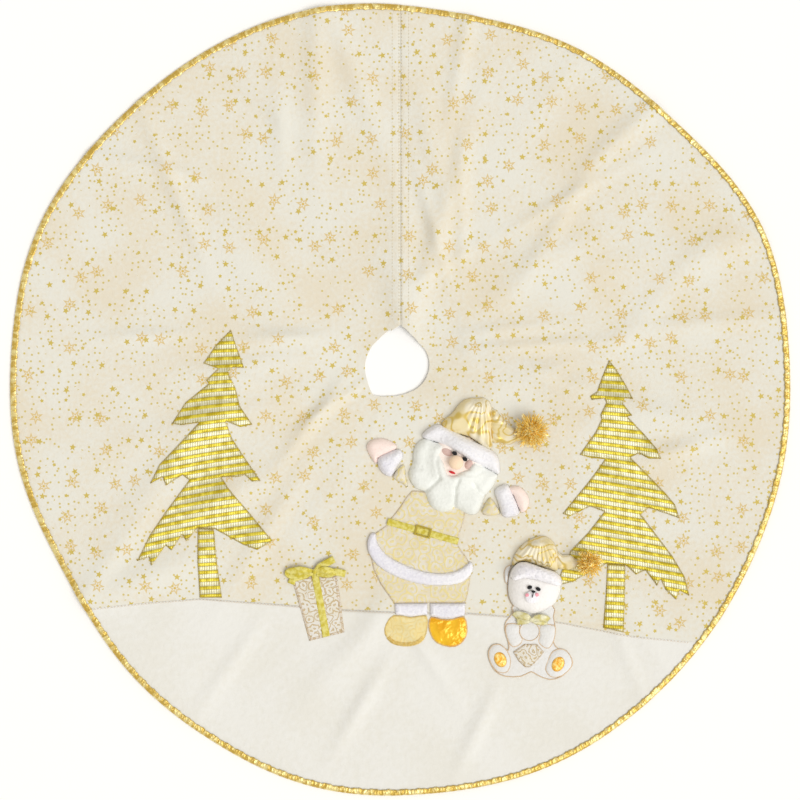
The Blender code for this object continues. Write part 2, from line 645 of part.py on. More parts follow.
def make_santa_head(skin, plush, fur, hat_cloth, felt, tinsel):
    head = arc(HEAD_RADIUS, 0, 360, 12, HEAD_CENTRE)[:-1]
    stuffed("santa_head", head, ON_CLOTH, HEAD_THICK, skin, HEAD_EDGE, steps=1)
    stuffed("santa_beard", BEARD, ON_HEAD, BEARD_THICK, plush, PLUSH_EDGE)
    stuffed("santa_hat_brim", HAT_BRIM, ON_HEAD, BRIM_THICK, fur)
    stuffed("santa_hat_crown", HAT_CROWN, ON_CLOTH, HAT_THICK, hat_cloth, HAT_EDGE)
    ball("santa_nose", NOSE_CENTRE, NOSE_RADIUS, ON_HEAD, NOSE_HEIGHT, skin)
    for name, centre in EYES.items():
        eye = arc(EYE_RADIUS, 0, 360, 30, centre)[:-1]
        cut_sheet(name, eye, ON_HEAD, EYE_THICK, felt)
    make_hat_end("santa", HAT_TIP, SANTA_POMPOM_BEARING, SANTA_POMPOM_RADIUS, ON_CLOTH,
                 hat_cloth, tinsel)


def make_hat_end(doll, outline, bearing, pompom_radius, level, hat_cloth, tinsel):
    """The loose point of a hat, which lifts, and the pompom tied to its end."""
    tip = stuffed(f"{doll}_hat_tip", outline, level, TIP_THICK, hat_cloth)
    pompom_at = polar(pompom_radius + POMPOM_GAP, bearing, max(outline))
    pompom = ball(f"{doll}_pompom", pompom_at, pompom_radius, level, 2 * pompom_radius, tinsel)
    root_x = min(x for x, _ in outline)
    root_y = [y for x, y in outline if x < root_x + 1]
    lift = hinge_empty(f"{doll}_hat_tip_axis", root_x, sum(root_y) / len(root_y), level)
    end = Vector(max(outline))
    swing = hinge_empty(f"{doll}_pompom_axis", end.x, end.y, level)
    hang_on(lift, [tip])
    hang_on(swing, [pompom])


# --------------------------------------------------------------- the bear
def make_bear(plush, fur, brocade, ribbon, sole_cloth, hat_cloth, tinsel):
    cut_sheet("bear_body", smooth_loop(BEAR_BODY), ON_CLOTH, APPLIQUE_THICK, plush)
    for name, outline in BEAR_ARMS.items():
        stuffed(name, outline, ON_APPLIQUE, FUR_THICK, plush)
    for name, outline in BEAR_FEET.items():
        stuffed(name, outline, ON_APPLIQUE, FUR_THICK, plush)
    on_foot = ON_APPLIQUE + FUR_THICK + SEAM_GAP
    for name, (centre, tilt) in BEAR_SOLES.items():
        turn = Matrix.Rotation(math.radians(tilt), 2)
        oval = []
        for x, y in arc(0.5, 0, 360, 20)[:-1]:
            oval.append(tuple(turn @ Vector((x * SOLE_SIZE[0], y * SOLE_SIZE[1])) + Vector(centre)))
        cut_sheet(name, oval, on_foot, APPLIQUE_THICK, sole_cloth)
    cut_sheet("bear_parcel", BEAR_PARCEL, ON_APPLIQUE, PARCEL_THICK, brocade)
    stuffed("bear_head", BEAR_HEAD, ON_APPLIQUE, BEAR_HEAD_THICK, plush, BEAR_HEAD_EDGE)
    stuffed("bear_left_ear", BEAR_EAR, ON_CLOTH, BEAR_EAR_THICK, plush, PLUSH_EDGE)
    on_bear_head = ON_APPLIQUE + BEAR_HEAD_THICK + SEAM_GAP
    ball("bear_muzzle", BEAR_MUZZLE, BEAR_MUZZLE_RADIUS, on_bear_head, BEAR_MUZZLE_HEIGHT, plush)
    stuffed("bear_hat_brim", BEAR_BRIM, on_bear_head, BEAR_BRIM_THICK, fur)
    cut_sheet("bear_bow", BEAR_BOW, ON_APPLIQUE, BEAR_BOW_THICK, ribbon)
    stuffed("bear_hat_crown", BEAR_HAT_CROWN, ON_CLOTH, HAT_THICK, hat_cloth, HAT_EDGE)
    make_hat_end("bear", BEAR_HAT_TIP, BEAR_POMPOM_BEARING, BEAR_POMPOM_RADIUS, ON_APPLIQUE,
                 hat_cloth, tinsel)


# ------------------------------------------------------------------ build
clear_scene()
PARTS = new_collection("tree_skirt")
CUTTERS = new_collection("cutters")

FLEECE = make_material("star_fleece", (0.83, 0.77, 0.66), 0.9)
SNOW = make_material("snow_fleece", (0.84, 0.81, 0.72), 0.95)
LINING = make_material("lining_cloth", (0.80, 0.77, 0.70), 0.8)
LAME = make_material("gold_lame", (0.78, 0.58, 0.12), 0.25, 1.0)
STRIPE = make_material("striped_lame", (0.72, 0.66, 0.25), 0.35, 0.8)
BROCADE = make_material("brocade", (0.82, 0.76, 0.62), 0.6)
RIBBON = make_material("gold_ribbon", (0.68, 0.60, 0.13), 0.35, 0.6)
METAL = make_material("buckle_metal", (0.75, 0.65, 0.15), 0.2, 1.0)
JACQUARD = make_material("coat_jacquard", (0.80, 0.70, 0.50), 0.55)
FUR = make_material("white_fur", (0.88, 0.88, 0.90), 1.0)
PLUSH = make_material("cream_plush", (0.84, 0.83, 0.78), 0.95)
SKIN = make_material("peach_fleece", (0.84, 0.68, 0.60), 0.9)
TAN_BOOT = make_material("boot_cloth", (0.90, 0.67, 0.30), 0.6)
FOIL_BOOT = make_material("boot_foil", (0.93, 0.54, 0.02), 0.25, 0.7)
HAT = make_material("hat_satin", (0.82, 0.66, 0.30), 0.4, 0.3)
FELT = make_material("black_felt", (0.01, 0.01, 0.01), 0.7)
TINSEL = make_material("tinsel", (0.75, 0.42, 0.03), 0.2, 1.0)

make_skirt(FLEECE, SNOW, LINING, LAME)
make_flap("left", -1, FLEECE, LINING, LAME)
make_flap("right", 1, FLEECE, LINING, LAME)
make_trees(STRIPE)
make_gift(BROCADE, RIBBON)
make_clothes(JACQUARD, FUR, TAN_BOOT, FOIL_BOOT)
make_belt(RIBBON, METAL)
make_arm("left", JACQUARD, FUR, SKIN)
make_arm("right", JACQUARD, FUR, SKIN)
make_santa_head(SKIN, PLUSH, FUR, HAT, FELT, TINSEL)
make_bear(PLUSH, FUR, BROCADE, RIBBON, TAN_BOOT, HAT, TINSEL)
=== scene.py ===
# %% [markdown]
# # A Christmas tree skirt
# The skirt is a round of cream fleece, 1.2 m across, that lies on the floor round the foot of a
# tree. It has a slit from the rim to an opening for the trunk, a gold binding, a plain snow
# field along the bottom, and appliques: two trees, a parcel, Father Christmas and a bear.
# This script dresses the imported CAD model. The CAD gives every place and outline, so each piece
# starts from the outline of its own CAD node and can't drift from it.

# %% Load the frame
import json
import math
import random

import bmesh
import bpy
import numpy as np
from mathutils import Matrix, Vector

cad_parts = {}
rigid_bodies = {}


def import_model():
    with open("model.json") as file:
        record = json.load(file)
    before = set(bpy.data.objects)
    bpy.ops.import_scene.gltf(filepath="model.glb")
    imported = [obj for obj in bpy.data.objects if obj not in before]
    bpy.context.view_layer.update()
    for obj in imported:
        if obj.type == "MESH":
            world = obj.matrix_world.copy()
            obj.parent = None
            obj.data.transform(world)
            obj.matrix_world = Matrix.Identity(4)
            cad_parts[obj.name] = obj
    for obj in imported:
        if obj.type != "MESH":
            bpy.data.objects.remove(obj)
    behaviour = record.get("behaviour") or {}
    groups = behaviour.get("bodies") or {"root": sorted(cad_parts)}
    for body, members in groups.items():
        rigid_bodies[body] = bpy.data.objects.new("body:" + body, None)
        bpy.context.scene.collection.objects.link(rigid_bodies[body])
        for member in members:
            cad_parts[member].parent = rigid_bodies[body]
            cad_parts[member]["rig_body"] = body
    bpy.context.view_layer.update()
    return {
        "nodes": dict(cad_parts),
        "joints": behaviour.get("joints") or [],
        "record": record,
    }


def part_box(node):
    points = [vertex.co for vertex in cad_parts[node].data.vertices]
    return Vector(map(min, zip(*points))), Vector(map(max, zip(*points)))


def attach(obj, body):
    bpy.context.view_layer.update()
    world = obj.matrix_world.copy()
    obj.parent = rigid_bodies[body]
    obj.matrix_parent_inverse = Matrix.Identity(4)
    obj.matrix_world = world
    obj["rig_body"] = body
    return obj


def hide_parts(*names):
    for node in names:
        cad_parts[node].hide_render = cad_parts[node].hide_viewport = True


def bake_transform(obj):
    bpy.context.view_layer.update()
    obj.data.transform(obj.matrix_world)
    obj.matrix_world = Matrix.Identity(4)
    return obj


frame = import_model()
MM = 0.001
random.seed(12)

# %% [markdown]
# ## Short ways to write node trees
# A node tree in Python is mostly bookkeeping: make a node, set an option, link a socket. This
# small class keeps that in one place, so that each material below reads as a recipe.

# %% Node helpers
class Net:
    """A node tree with short ways to add to it."""

    def __init__(self, tree):
        self.tree = tree

    def set(self, socket, value):
        if isinstance(value, bpy.types.NodeSocket):
            self.tree.links.new(value, socket)
        else:
            socket.default_value = value

    def add(self, kind, inputs=None, **options):
        node = self.tree.nodes.new(kind)
        for name, value in options.items():
            setattr(node, name, value)
        for name, value in (inputs or {}).items():
            self.set(node.inputs[name], value)
        return node

    def math(self, operation, *values):
        node = self.add("ShaderNodeMath", dict(enumerate(values)), operation=operation)
        return node.outputs[0]

    def vector(self, operation, *values, out=0):
        node = self.add("ShaderNodeVectorMath", dict(enumerate(values)), operation=operation)
        return node.outputs[out]

    def noise(self, at, scale, detail=2.0):
        return self.add("ShaderNodeTexNoise", {"Vector": at, "Scale": scale, "Detail": detail}
                        ).outputs["Fac"]

    def step(self, value, low, high):
        node = self.add("ShaderNodeMapRange", {"Value": value, "From Min": low, "From Max": high})
        node.interpolation_type = "SMOOTHSTEP"
        return node.outputs[0]

    def mix(self, mask, first, second):
        node = self.add("ShaderNodeMix", data_type="RGBA")
        for index, value in ((0, mask), (6, first), (7, second)):
            self.set(node.inputs[index], value)
        return node.outputs[2]

    def use(self, group, inputs=None):
        node = self.add("ShaderNodeGroup", node_tree=bpy.data.node_groups[group])
        for name, value in (inputs or {}).items():
            self.set(node.inputs[name], value)
        return node.outputs


def new_group(name, inputs, outputs):
    """An empty node group with its sockets; returns its net, its inputs and its output node."""
    tree = bpy.data.node_groups.new(name, "ShaderNodeTree")
    for label, value in inputs.items():
        kind = "NodeSocketVector" if value is None else "NodeSocketFloat"
        socket = tree.interface.new_socket(label, in_out="INPUT", socket_type=kind)
        if value is not None:
            socket.default_value = value
    for label in outputs:
        tree.interface.new_socket(label, in_out="OUTPUT", socket_type="NodeSocketFloat")
    net = Net(tree)
    return net, net.add("NodeGroupInput").outputs, net.add("NodeGroupOutput")


def rgb(red, green, blue):
    """A colour as it looks on a screen, 0 to 255, in the linear values that shaders use."""
    def linear(value):
        value /= 255
        return value / 12.92 if value <= 0.04045 else ((value + 0.055) / 1.055) ** 2.4
    return (linear(red), linear(green), linear(blue), 1.0)


# %% [markdown]
# ## Effects shared by several cloths
# Pile, foil creases, a woven ground, scroll brocade and marbling each turn up on more than one
# piece, so each is one node group that puts out a mask or a height. Sizes are in metres.

# %% Pile, creases and weave
net, given, out = new_group("pile", {"At": None, "Fibre": 900.0, "Tufts": 160.0},
                            ["Height", "PaintedShade"])
fibre = net.noise(given["At"], given["Fibre"], 3.0)
tufts = net.noise(given["At"], given["Tufts"], 2.0)
broad = net.noise(given["At"], 9.0, 1.0)
net.set(out.inputs["Height"], net.math("ADD", net.math("MULTIPLY", fibre, 0.5), tufts))
# PaintedShade is painted shade: low tufts and broad patches get the shade colour, the rest gets
# the lit colour.
net.set(out.inputs["PaintedShade"], net.math("ADD", net.math("MULTIPLY", tufts, 0.4),
                                     net.math("MULTIPLY", broad, 0.6)))

net, given, out = new_group("foil_creases", {"At": None, "Size": 250.0, "Stretch": 3.0},
                            ["Height", "Glint"])
long_way = net.add("ShaderNodeCombineXYZ", {"X": given["Stretch"], "Y": 1.0, "Z": 1.0})
stretched = net.vector("MULTIPLY", given["At"], long_way.outputs[0])
crease = net.noise(stretched, given["Size"], 4.0)
ridge = net.math("ABSOLUTE", net.math("SUBTRACT", crease, 0.5))
net.set(out.inputs["Height"], net.math("SUBTRACT", 1.0, net.math("MULTIPLY", ridge, 4.0)))
# Glint marks the crests of the creases, where the lighter colour paints a glint.
net.set(out.inputs["Glint"], net.step(crease, 0.42, 0.62))

net, given, out = new_group("weave", {"At": None, "Threads": 900.0}, ["Height"])
waves = []
for direction in ("X", "Y"):
    wave_node = net.add("ShaderNodeTexWave", {"Vector": given["At"], "Scale": given["Threads"]},
                        bands_direction=direction)
    waves.append(wave_node.outputs["Fac"])
net.set(out.inputs["Height"], net.math("MULTIPLY", *waves))
print("made the groups", sorted(group.name for group in bpy.data.node_groups))

# %% Scrolls and marbling
net, given, out = new_group("scrolls", {"At": None, "Size": 60.0}, ["Lines"])
warp = net.add("ShaderNodeTexNoise", {"Vector": given["At"], "Scale": given["Size"]})
push = net.add("ShaderNodeVectorMath", {0: warp.outputs["Color"], "Scale": 0.012},
               operation="SCALE")
bent = net.vector("ADD", given["At"], push.outputs[0])
rings = net.add("ShaderNodeTexVoronoi", {"Vector": bent, "Scale": given["Size"]},
                voronoi_dimensions="2D")
turns = net.math("SINE", net.math("MULTIPLY", rings.outputs["Distance"], 16.0))
net.set(out.inputs["Lines"], net.step(turns, 0.35, 0.8))

net, given, out = new_group("marbling", {"At": None, "Size": 22.0, "Lines": 9.0}, ["Lines"])
field = net.noise(given["At"], given["Size"], 1.0)
saw = net.math("FRACT", net.math("MULTIPLY", field, given["Lines"]))
near = net.math("ABSOLUTE", net.math("SUBTRACT", saw, 0.5))
thickness = net.noise(given["At"], 45.0, 0.0)
edge = net.math("MULTIPLY", thickness, 0.55)
net.set(out.inputs["Lines"], net.math("SUBTRACT", 1.0, net.step(near, 0.02, edge)))
print("made scrolls and marbling")

# %% [markdown]
# ## The star print
# The fleece is printed with gold: solid five-pointed stars in two sizes, larger six-pointed stars
# drawn in outline, and dots that gather in clouds. A Voronoi texture scatters one point per cell
# and also gives that point's position. The offset from it, in polar form, is enough to draw a
# star: a straight edge from tip to notch is the line r * cos(angle - tilt) = reach.

# %% Star print group
def star_edge(net, at, cell, radius, points, notch, seed):
    """How far inside a scattered star a place is, in metres, with the cell's random colour."""
    shifted = net.vector("ADD", at, (seed, seed * 0.7, 0.0))
    cells = net.add("ShaderNodeTexVoronoi", {"Vector": shifted, "Scale": 1 / cell,
                                             "Randomness": 0.75}, voronoi_dimensions="2D")
    offset = net.vector("SUBTRACT", shifted, cells.outputs["Position"])
    parts = net.add("ShaderNodeSeparateXYZ", {0: offset}).outputs
    chance = net.add("ShaderNodeSeparateColor", {0: cells.outputs["Color"]}).outputs
    turn = net.math("MULTIPLY_ADD", chance[0], math.tau, net.math("ARCTAN2", parts[1], parts[0]))
    sector = math.tau / points
    folded = net.math("FLOORED_MODULO", turn, sector)
    from_tip = net.math("ABSOLUTE", net.math("SUBTRACT", folded, sector / 2))
    run = Vector((notch * math.cos(sector / 2) - 1, notch * math.sin(sector / 2))) * radius
    tilt = math.atan2(-run.x, run.y)
    reach = radius * run.y / run.length
    flat = net.vector("MULTIPLY", offset, (1.0, 1.0, 0.0))
    distance = net.vector("LENGTH", flat, out=1)
    across = net.math("MULTIPLY", distance,
                      net.math("COSINE", net.math("SUBTRACT", from_tip, tilt)))
    return net.math("SUBTRACT", reach, across), chance, distance


SOLID_STARS = ((0.040, 0.0058, 0.45, 0.0), (0.036, 0.0034, 0.6, 3.3))  # cell, radius, notch, seed
DOT_CELL = 0.0108
OPEN_CELL, OPEN_RADIUS = 0.052, 0.0088

net, given, out = new_group("star_print", {"At": None}, ["Solid", "Outline"])
at = given["At"]
_, chance, spot = star_edge(net, at, DOT_CELL, 0.002, 5, 0.7, 7.9)
clouds = net.noise(at, 26.0, 1.0)
shown = net.math("LESS_THAN", chance[1], net.step(clouds, 0.34, 0.62))
dots = net.math("MULTIPLY", net.math("SUBTRACT", 1.0, net.step(spot, 0.0012, 0.0021)), shown)
solid = net.math("MULTIPLY", dots, 0.85)
for cell, radius, notch, seed in SOLID_STARS:
    edge, chance, _ = star_edge(net, at, cell, radius, 5, notch, seed)
    shown = net.math("LESS_THAN", chance[1], 0.5)
    star = net.math("MULTIPLY", net.step(edge, -0.0002, 0.0004), shown)
    solid = net.math("MAXIMUM", solid, star)
net.set(out.inputs["Solid"], solid)
line, chance, centre = star_edge(net, at, OPEN_CELL, OPEN_RADIUS, 6, 0.42, 5.1)
line = net.math("SUBTRACT", 1.0, net.step(net.math("ABSOLUTE", line), 0.0004, 0.0013))
line = net.math("MAXIMUM", net.math("MULTIPLY", line, 0.75),
                net.math("SUBTRACT", 1.0, net.step(centre, 0.0014, 0.0026)))
shown = net.math("LESS_THAN", chance[1], 0.62)
net.set(out.inputs["Outline"], net.math("MULTIPLY", line, shown))
print("made the star print")

# %% [markdown]
# ## Materials
# Each finish is a Principled shader. Values that are the same all over sit on its own sockets:
# only colours, masks and heights come from nodes. The cloth of the skirt and of the trees reads
# its
# UV map, whose unit is a metre of flat cloth, so its pattern can't slide. The rest reads Object
# coordinates.

# %% Material helpers
MATERIALS = {}


def finish_of(name, colour, roughness, metallic=0.0, sheen=0.0, uv=False):
    """A named material; returns its net, its shader and the coordinates it reads."""
    made = bpy.data.materials.new(name)
    made.use_nodes = True
    net = Net(made.node_tree)
    shader = made.node_tree.nodes["Principled BSDF"]
    for label, value in (("Base Color", colour), ("Roughness", roughness),
                         ("Metallic", metallic), ("Sheen Weight", sheen),
                         ("Sheen Roughness", 0.5)):
        shader.inputs[label].default_value = value
    place = net.add("ShaderNodeTexCoord").outputs["UV" if uv else "Object"]
    MATERIALS[name] = made
    return net, shader, place


def bump(net, shader, height, distance):
    node = net.add("ShaderNodeBump", {"Height": height, "Distance": distance, "Strength": 1.0})
    net.set(shader.inputs["Normal"], node.outputs[0])


def pile_cloth(name, light, shade, fibre=900.0, tufts=160.0, depth=0.0006, uv=False, sheen=0.25):
    """Brushed or furry cloth: a soft pile in a lit colour, with painted shade in its low tufts and
    in broad patches.
    """
    net, shader, place = finish_of(name, light, 0.95, sheen=sheen, uv=uv)
    pile = net.use("pile", {"At": place, "Fibre": fibre, "Tufts": tufts})
    lightness = net.step(pile["PaintedShade"], 0.35, 0.62)
    net.set(shader.inputs["Base Color"], net.mix(lightness, shade, light))
    bump(net, shader, pile["Height"], depth)
    return net, shader, place


# %% Fleece, fur, plush and felt
net, shader, place = pile_cloth("star_fleece", rgb(230, 228, 218), rgb(228, 219, 199), uv=True)
ground = shader.inputs["Base Color"].links[0].from_socket
prints = net.use("star_print", {"At": place})
glitter = net.noise(place, 2200.0, 1.0)
gold = net.mix(glitter, rgb(186, 160, 60), rgb(226, 206, 112))
printed = net.mix(prints["Outline"], ground, rgb(216, 184, 100))
net.set(shader.inputs["Base Color"], net.mix(prints["Solid"], printed, gold))
net.set(shader.inputs["Metallic"], net.math("MULTIPLY", prints["Solid"], 0.15))
net.set(shader.inputs["Roughness"], net.math("MULTIPLY_ADD", prints["Solid"], -0.35, 0.95))

pile_cloth("snow_fleece", rgb(235, 234, 229), rgb(231, 229, 221), 800.0, 110.0, 0.0008, uv=True)
pile_cloth("lining_cloth", rgb(238, 233, 220), rgb(228, 221, 204), 1500.0, 400.0, 0.0002, uv=True)
pile_cloth("white_fur", rgb(249, 248, 252), rgb(234, 232, 242), 700.0, 260.0, 0.0016, sheen=0.4)
pile_cloth("cream_plush", rgb(244, 246, 241), rgb(236, 238, 232), 800.0, 220.0, 0.0012, sheen=0.4)
pile_cloth("bright_fur", rgb(254, 252, 255), rgb(242, 238, 248), 700.0, 260.0, 0.0016, sheen=0.4)
pile_cloth("face_plush", rgb(250, 247, 245), rgb(243, 240, 236), 900.0, 260.0, 0.0008, sheen=0.4)
pile_cloth("bear_plush", rgb(236, 236, 236), rgb(230, 228, 224), 900.0, 260.0, 0.0008, sheen=0.4)
pile_cloth("peach_fleece", rgb(255, 244, 236), rgb(252, 234, 224), 1200.0, 300.0, 0.0004)
pile_cloth("mitten_fleece", rgb(254, 236, 228), rgb(248, 224, 216), 1200.0, 300.0, 0.0004)
pile_cloth("nose_jersey", rgb(253, 226, 196), rgb(247, 214, 184), 1500.0, 500.0, 0.0002)
# The mauve cloth below is painted shade for Father Christmas's face.
pile_cloth("mauve_painted_shade", rgb(220, 190, 182), rgb(206, 170, 160), 1200.0, 300.0, 0.0003)
pile_cloth("pink_blush", rgb(252, 178, 190), rgb(248, 158, 176), 1200.0, 300.0, 0.0003)
pile_cloth("black_felt", rgb(28, 26, 28), rgb(16, 15, 16), 1200.0, 300.0, 0.0003)
print("made", len(MATERIALS), "pile cloths")

# %% [markdown]
# ## Metallic cloths
# The binding is gold lame: a thin cloth with a metal skin, gathered as it was sewn, so its gloss
# breaks up into many small glints, and the crests of its creases carry a painted glint. The trees
# are cut from a lame that is woven in stripes, gold cords between puckered silver bands, with
# painted shade in the hollows of the puckers. Their UV map runs across the stripes.

# %% Lame
def foil_cloth(name, light, dark, roughness, size, stretch, depth, metallic, uv=False):
    """Shiny cloth whose colour and height follow its creases; its lighter colour on the crests is
    a painted glint.
    """
    net, shader, place = finish_of(name, light, roughness, metallic, uv=uv)
    creases = net.use("foil_creases", {"At": place, "Size": size, "Stretch": stretch})
    net.set(shader.inputs["Base Color"], net.mix(creases["Glint"], dark, light))
    bump(net, shader, creases["Height"], depth)


foil_cloth("gold_lame", rgb(244, 226, 156), rgb(212, 178, 82), 0.3, 90, 1.6, 0.0008, 0.45, uv=True)
foil_cloth("gold_thread", rgb(236, 212, 110), rgb(206, 172, 60), 0.4, 900, 1.0, 0.0001, 0.1)
foil_cloth("boot_foil", rgb(255, 200, 40), rgb(246, 176, 14), 0.26, 20, 1.0, 0.0035, 0.2)
foil_cloth("tinsel", rgb(255, 252, 196), rgb(252, 204, 66), 0.25, 420, 1.0, 0.0002, 0.1)
foil_cloth("sole_satin", rgb(255, 224, 140), rgb(244, 176, 52), 0.35, 220, 1.0, 0.0003, 0.3)

STRIPE_PERIOD = 0.012
STRIPE_GOLD = 0.42            # share of a stripe that is gold
net, shader, place = finish_of("striped_lame", rgb(210, 205, 160), 0.38, 0.35, uv=True)
parts = net.add("ShaderNodeSeparateXYZ", {0: place}).outputs
across = net.math("FRACT", net.math("DIVIDE", parts[1], STRIPE_PERIOD))
from_cord = net.math("ABSOLUTE", net.math("SUBTRACT", across, 0.5))
cord = net.math("SUBTRACT", 1.0, net.step(from_cord, STRIPE_GOLD * 0.4, STRIPE_GOLD * 0.62))
pucker = net.math("SINE", net.math("MULTIPLY", parts[0], math.tau / 0.0026))
wander = net.noise(place, 90.0, 2.0)
pleat = net.math("MULTIPLY_ADD", pucker, 0.5, net.math("MULTIPLY", wander, 1.6))
# Painted shade: the silver turns a darker olive in the hollows of its pleats.
silver = net.mix(net.step(pleat, 0.25, 1.2), rgb(184, 174, 100), rgb(240, 238, 214))
gold_tone = net.mix(net.step(wander, 0.4, 0.62), rgb(194, 172, 20), rgb(232, 214, 70))
net.set(shader.inputs["Base Color"], net.mix(cord, silver, gold_tone))
bump(net, shader, net.math("ADD", net.math("MULTIPLY", pleat, 0.4), cord), 0.0007)
print("made the lames")

# %% Ribbons, brocade, satin and metal
def ribbon_cloth(name, dark, light, roughness, metallic, patches, threads, depth):
    """Lame ribbon: soft patches of two tones over a fine weave."""
    net, shader, place = finish_of(name, light, roughness, metallic)
    lightness = net.step(net.noise(place, patches), 0.35, 0.65)
    net.set(shader.inputs["Base Color"], net.mix(lightness, dark, light))
    bump(net, shader, net.use("weave", {"At": place, "Threads": threads})["Height"], depth)


ribbon_cloth("gold_ribbon", rgb(218, 200, 62), rgb(244, 234, 140), 0.42, 0.2, 160, 260, 0.0004)
ribbon_cloth("pale_ribbon", rgb(216, 204, 128), rgb(240, 236, 204), 0.4, 0.3, 90, 300, 0.0003)


def figured_cloth(name, ground, line, dark, size, metallic_lines):
    """Woven cloth with a scroll figure in metallic thread."""
    net, shader, place = finish_of(name, ground, 0.6, sheen=0.1)
    lines = net.use("scrolls", {"At": place, "Size": size})["Lines"]
    patches = net.step(net.noise(place, 70.0, 2.0), 0.4, 0.6)
    net.set(shader.inputs["Base Color"],
            net.mix(net.math("MULTIPLY", lines, 0.85), net.mix(patches, ground, dark), line))
    net.set(shader.inputs["Metallic"], net.math("MULTIPLY", lines, metallic_lines))
    weave = net.use("weave", {"At": place, "Threads": 420.0})["Height"]
    bump(net, shader, net.math("ADD", weave, lines), 0.0003)


figured_cloth("coat_jacquard", rgb(247, 240, 224), rgb(251, 234, 158), rgb(244, 232, 202), 62.0,
              0.05)
figured_cloth("brocade", rgb(250, 246, 238), rgb(216, 190, 136), rgb(247, 241, 226), 80.0, 0.1)
figured_cloth("boot_cloth", rgb(255, 239, 182), rgb(255, 230, 152), rgb(255, 234, 166), 70.0, 0.0)

net, shader, place = finish_of("hat_satin", rgb(232, 214, 168), 0.38, 0.1, sheen=0.1)
lines = net.use("marbling", {"At": place})["Lines"]
sweep = net.step(net.noise(place, 34.0, 1.0), 0.42, 0.58)
ground = net.mix(sweep, rgb(243, 234, 208), rgb(236, 220, 172))
net.set(shader.inputs["Base Color"],
        net.mix(net.math("MULTIPLY", lines, 0.8), ground, rgb(222, 190, 74)))
net.set(shader.inputs["Metallic"], net.math("MULTIPLY", lines, 0.5))
bump(net, shader, net.noise(place, 500.0, 2.0), 0.0002)

net, shader, place = finish_of("buckle_metal", rgb(226, 204, 92), 0.14, 1.0)
scratch = net.noise(place, 700.0, 3.0)
net.set(shader.inputs["Roughness"], net.math("MULTIPLY_ADD", scratch, 0.16, 0.06))
for name, colour in (("cream_thread", rgb(240, 228, 200)), ("tan_thread", rgb(236, 208, 172)),
                     ("red_thread", rgb(222, 24, 34)), ("satin_stitch", rgb(255, 220, 116)),
                     ("black_thread", rgb(24, 22, 24))):
    net, shader, place = finish_of(name, colour, 0.55, sheen=0.1)
    # Painted shade: patches of the thread take a darker copy of its colour, as shade in the
    # grooves of its twist.
    twist_shade = net.noise(place, 1600.0, 1.0)
    darker = tuple(value * 0.72 for value in colour[:3]) + (1.0,)
    net.set(shader.inputs["Base Color"], net.mix(net.step(twist_shade, 0.35, 0.6), darker, colour))
print("made", len(MATERIALS), "materials")

# %% [markdown]
# ## The lie of the cloth
# The skirt isn't flat: the fleece keeps soft folds that run out from the trunk opening, and its
# hem wanders by a centimetre. One height function gives the folds. Every applique reads it too,
# so nothing floats or sinks. The folds die out at the two fold lines of the flaps and under
# the dolls, whose stuffing holds the cloth flat.

# %% Folds of the fleece
LINING_TOP, CLOTH_LOW, CLOTH_TOP, ON_CLOTH = 0.8 * MM, 1.1 * MM, 2.9 * MM, 3.2 * MM
ON_APPLIQUE = 4.7 * MM
opening = frame["record"]["physics"]["openings"][0]["box_m"]
HOLE = np.array([(opening[0][k] + opening[1][k]) / 2 for k in (0, 1)])
SLIT_HALF = 0.0001
JOINTS = {joint["name"]: joint for joint in frame["joints"]}


def fold_line(word):
    """A point of a flap's fold line, its direction, and the direction towards the slit."""
    joint = JOINTS[f"{word}_flap_fold"]
    along = np.array(joint["axis"][:2])
    side = 1 if word == "left" else -1
    inward = np.array((-along[1], along[0])) * (1 if -along[1] * side > 0 else -1)
    return np.array(joint["pos_m"][:2]), along, inward


FOLD_LINES = {word: fold_line(word) for word in ("left", "right")}
FLAT_SPOTS = (((55, -190), 150), ((210, -320), 125), ((-128, -312), 80))


def make_ridges(count):
    """Soft folds that run roughly outwards: place, direction, length, width and height."""
    ridges = []
    for _ in range(count):
        bearing = random.uniform(0, math.tau)
        distance = random.uniform(0.09, 0.56)
        heading = bearing + random.uniform(-0.6, 0.6)
        ridges.append((distance * math.cos(bearing), distance * math.sin(bearing) + 0.03,
                       math.cos(heading), math.sin(heading), random.uniform(0.06, 0.17),
                       random.uniform(0.010, 0.026), random.uniform(2.0, 7.0) * MM))
    return ridges


PLACED_RIDGES = (
    ((-60, 20), 215, 90, 9, 6),
    ((-34, -30), 250, 55, 7, 5),
    ((26, -30), 285, 45, 7, 4),
    ((-125, -25), 232, 80, 12, 7),
    ((-180, 90), 185, 90, 12, 5),
    ((120, 100), 5, 110, 12, 5),
    ((-250, -400), 235, 90, 13, 6),
    ((-60, -470), 240, 70, 12, 5),
    ((120, -500), 245, 70, 12, 5),
)
RIDGES = make_ridges(56)
for (x, y), heading, length, width, rise in PLACED_RIDGES:
    turn = math.radians(heading)
    RIDGES.append((x * MM, y * MM, math.cos(turn), math.sin(turn), length * MM, width * MM,
                   rise * MM))


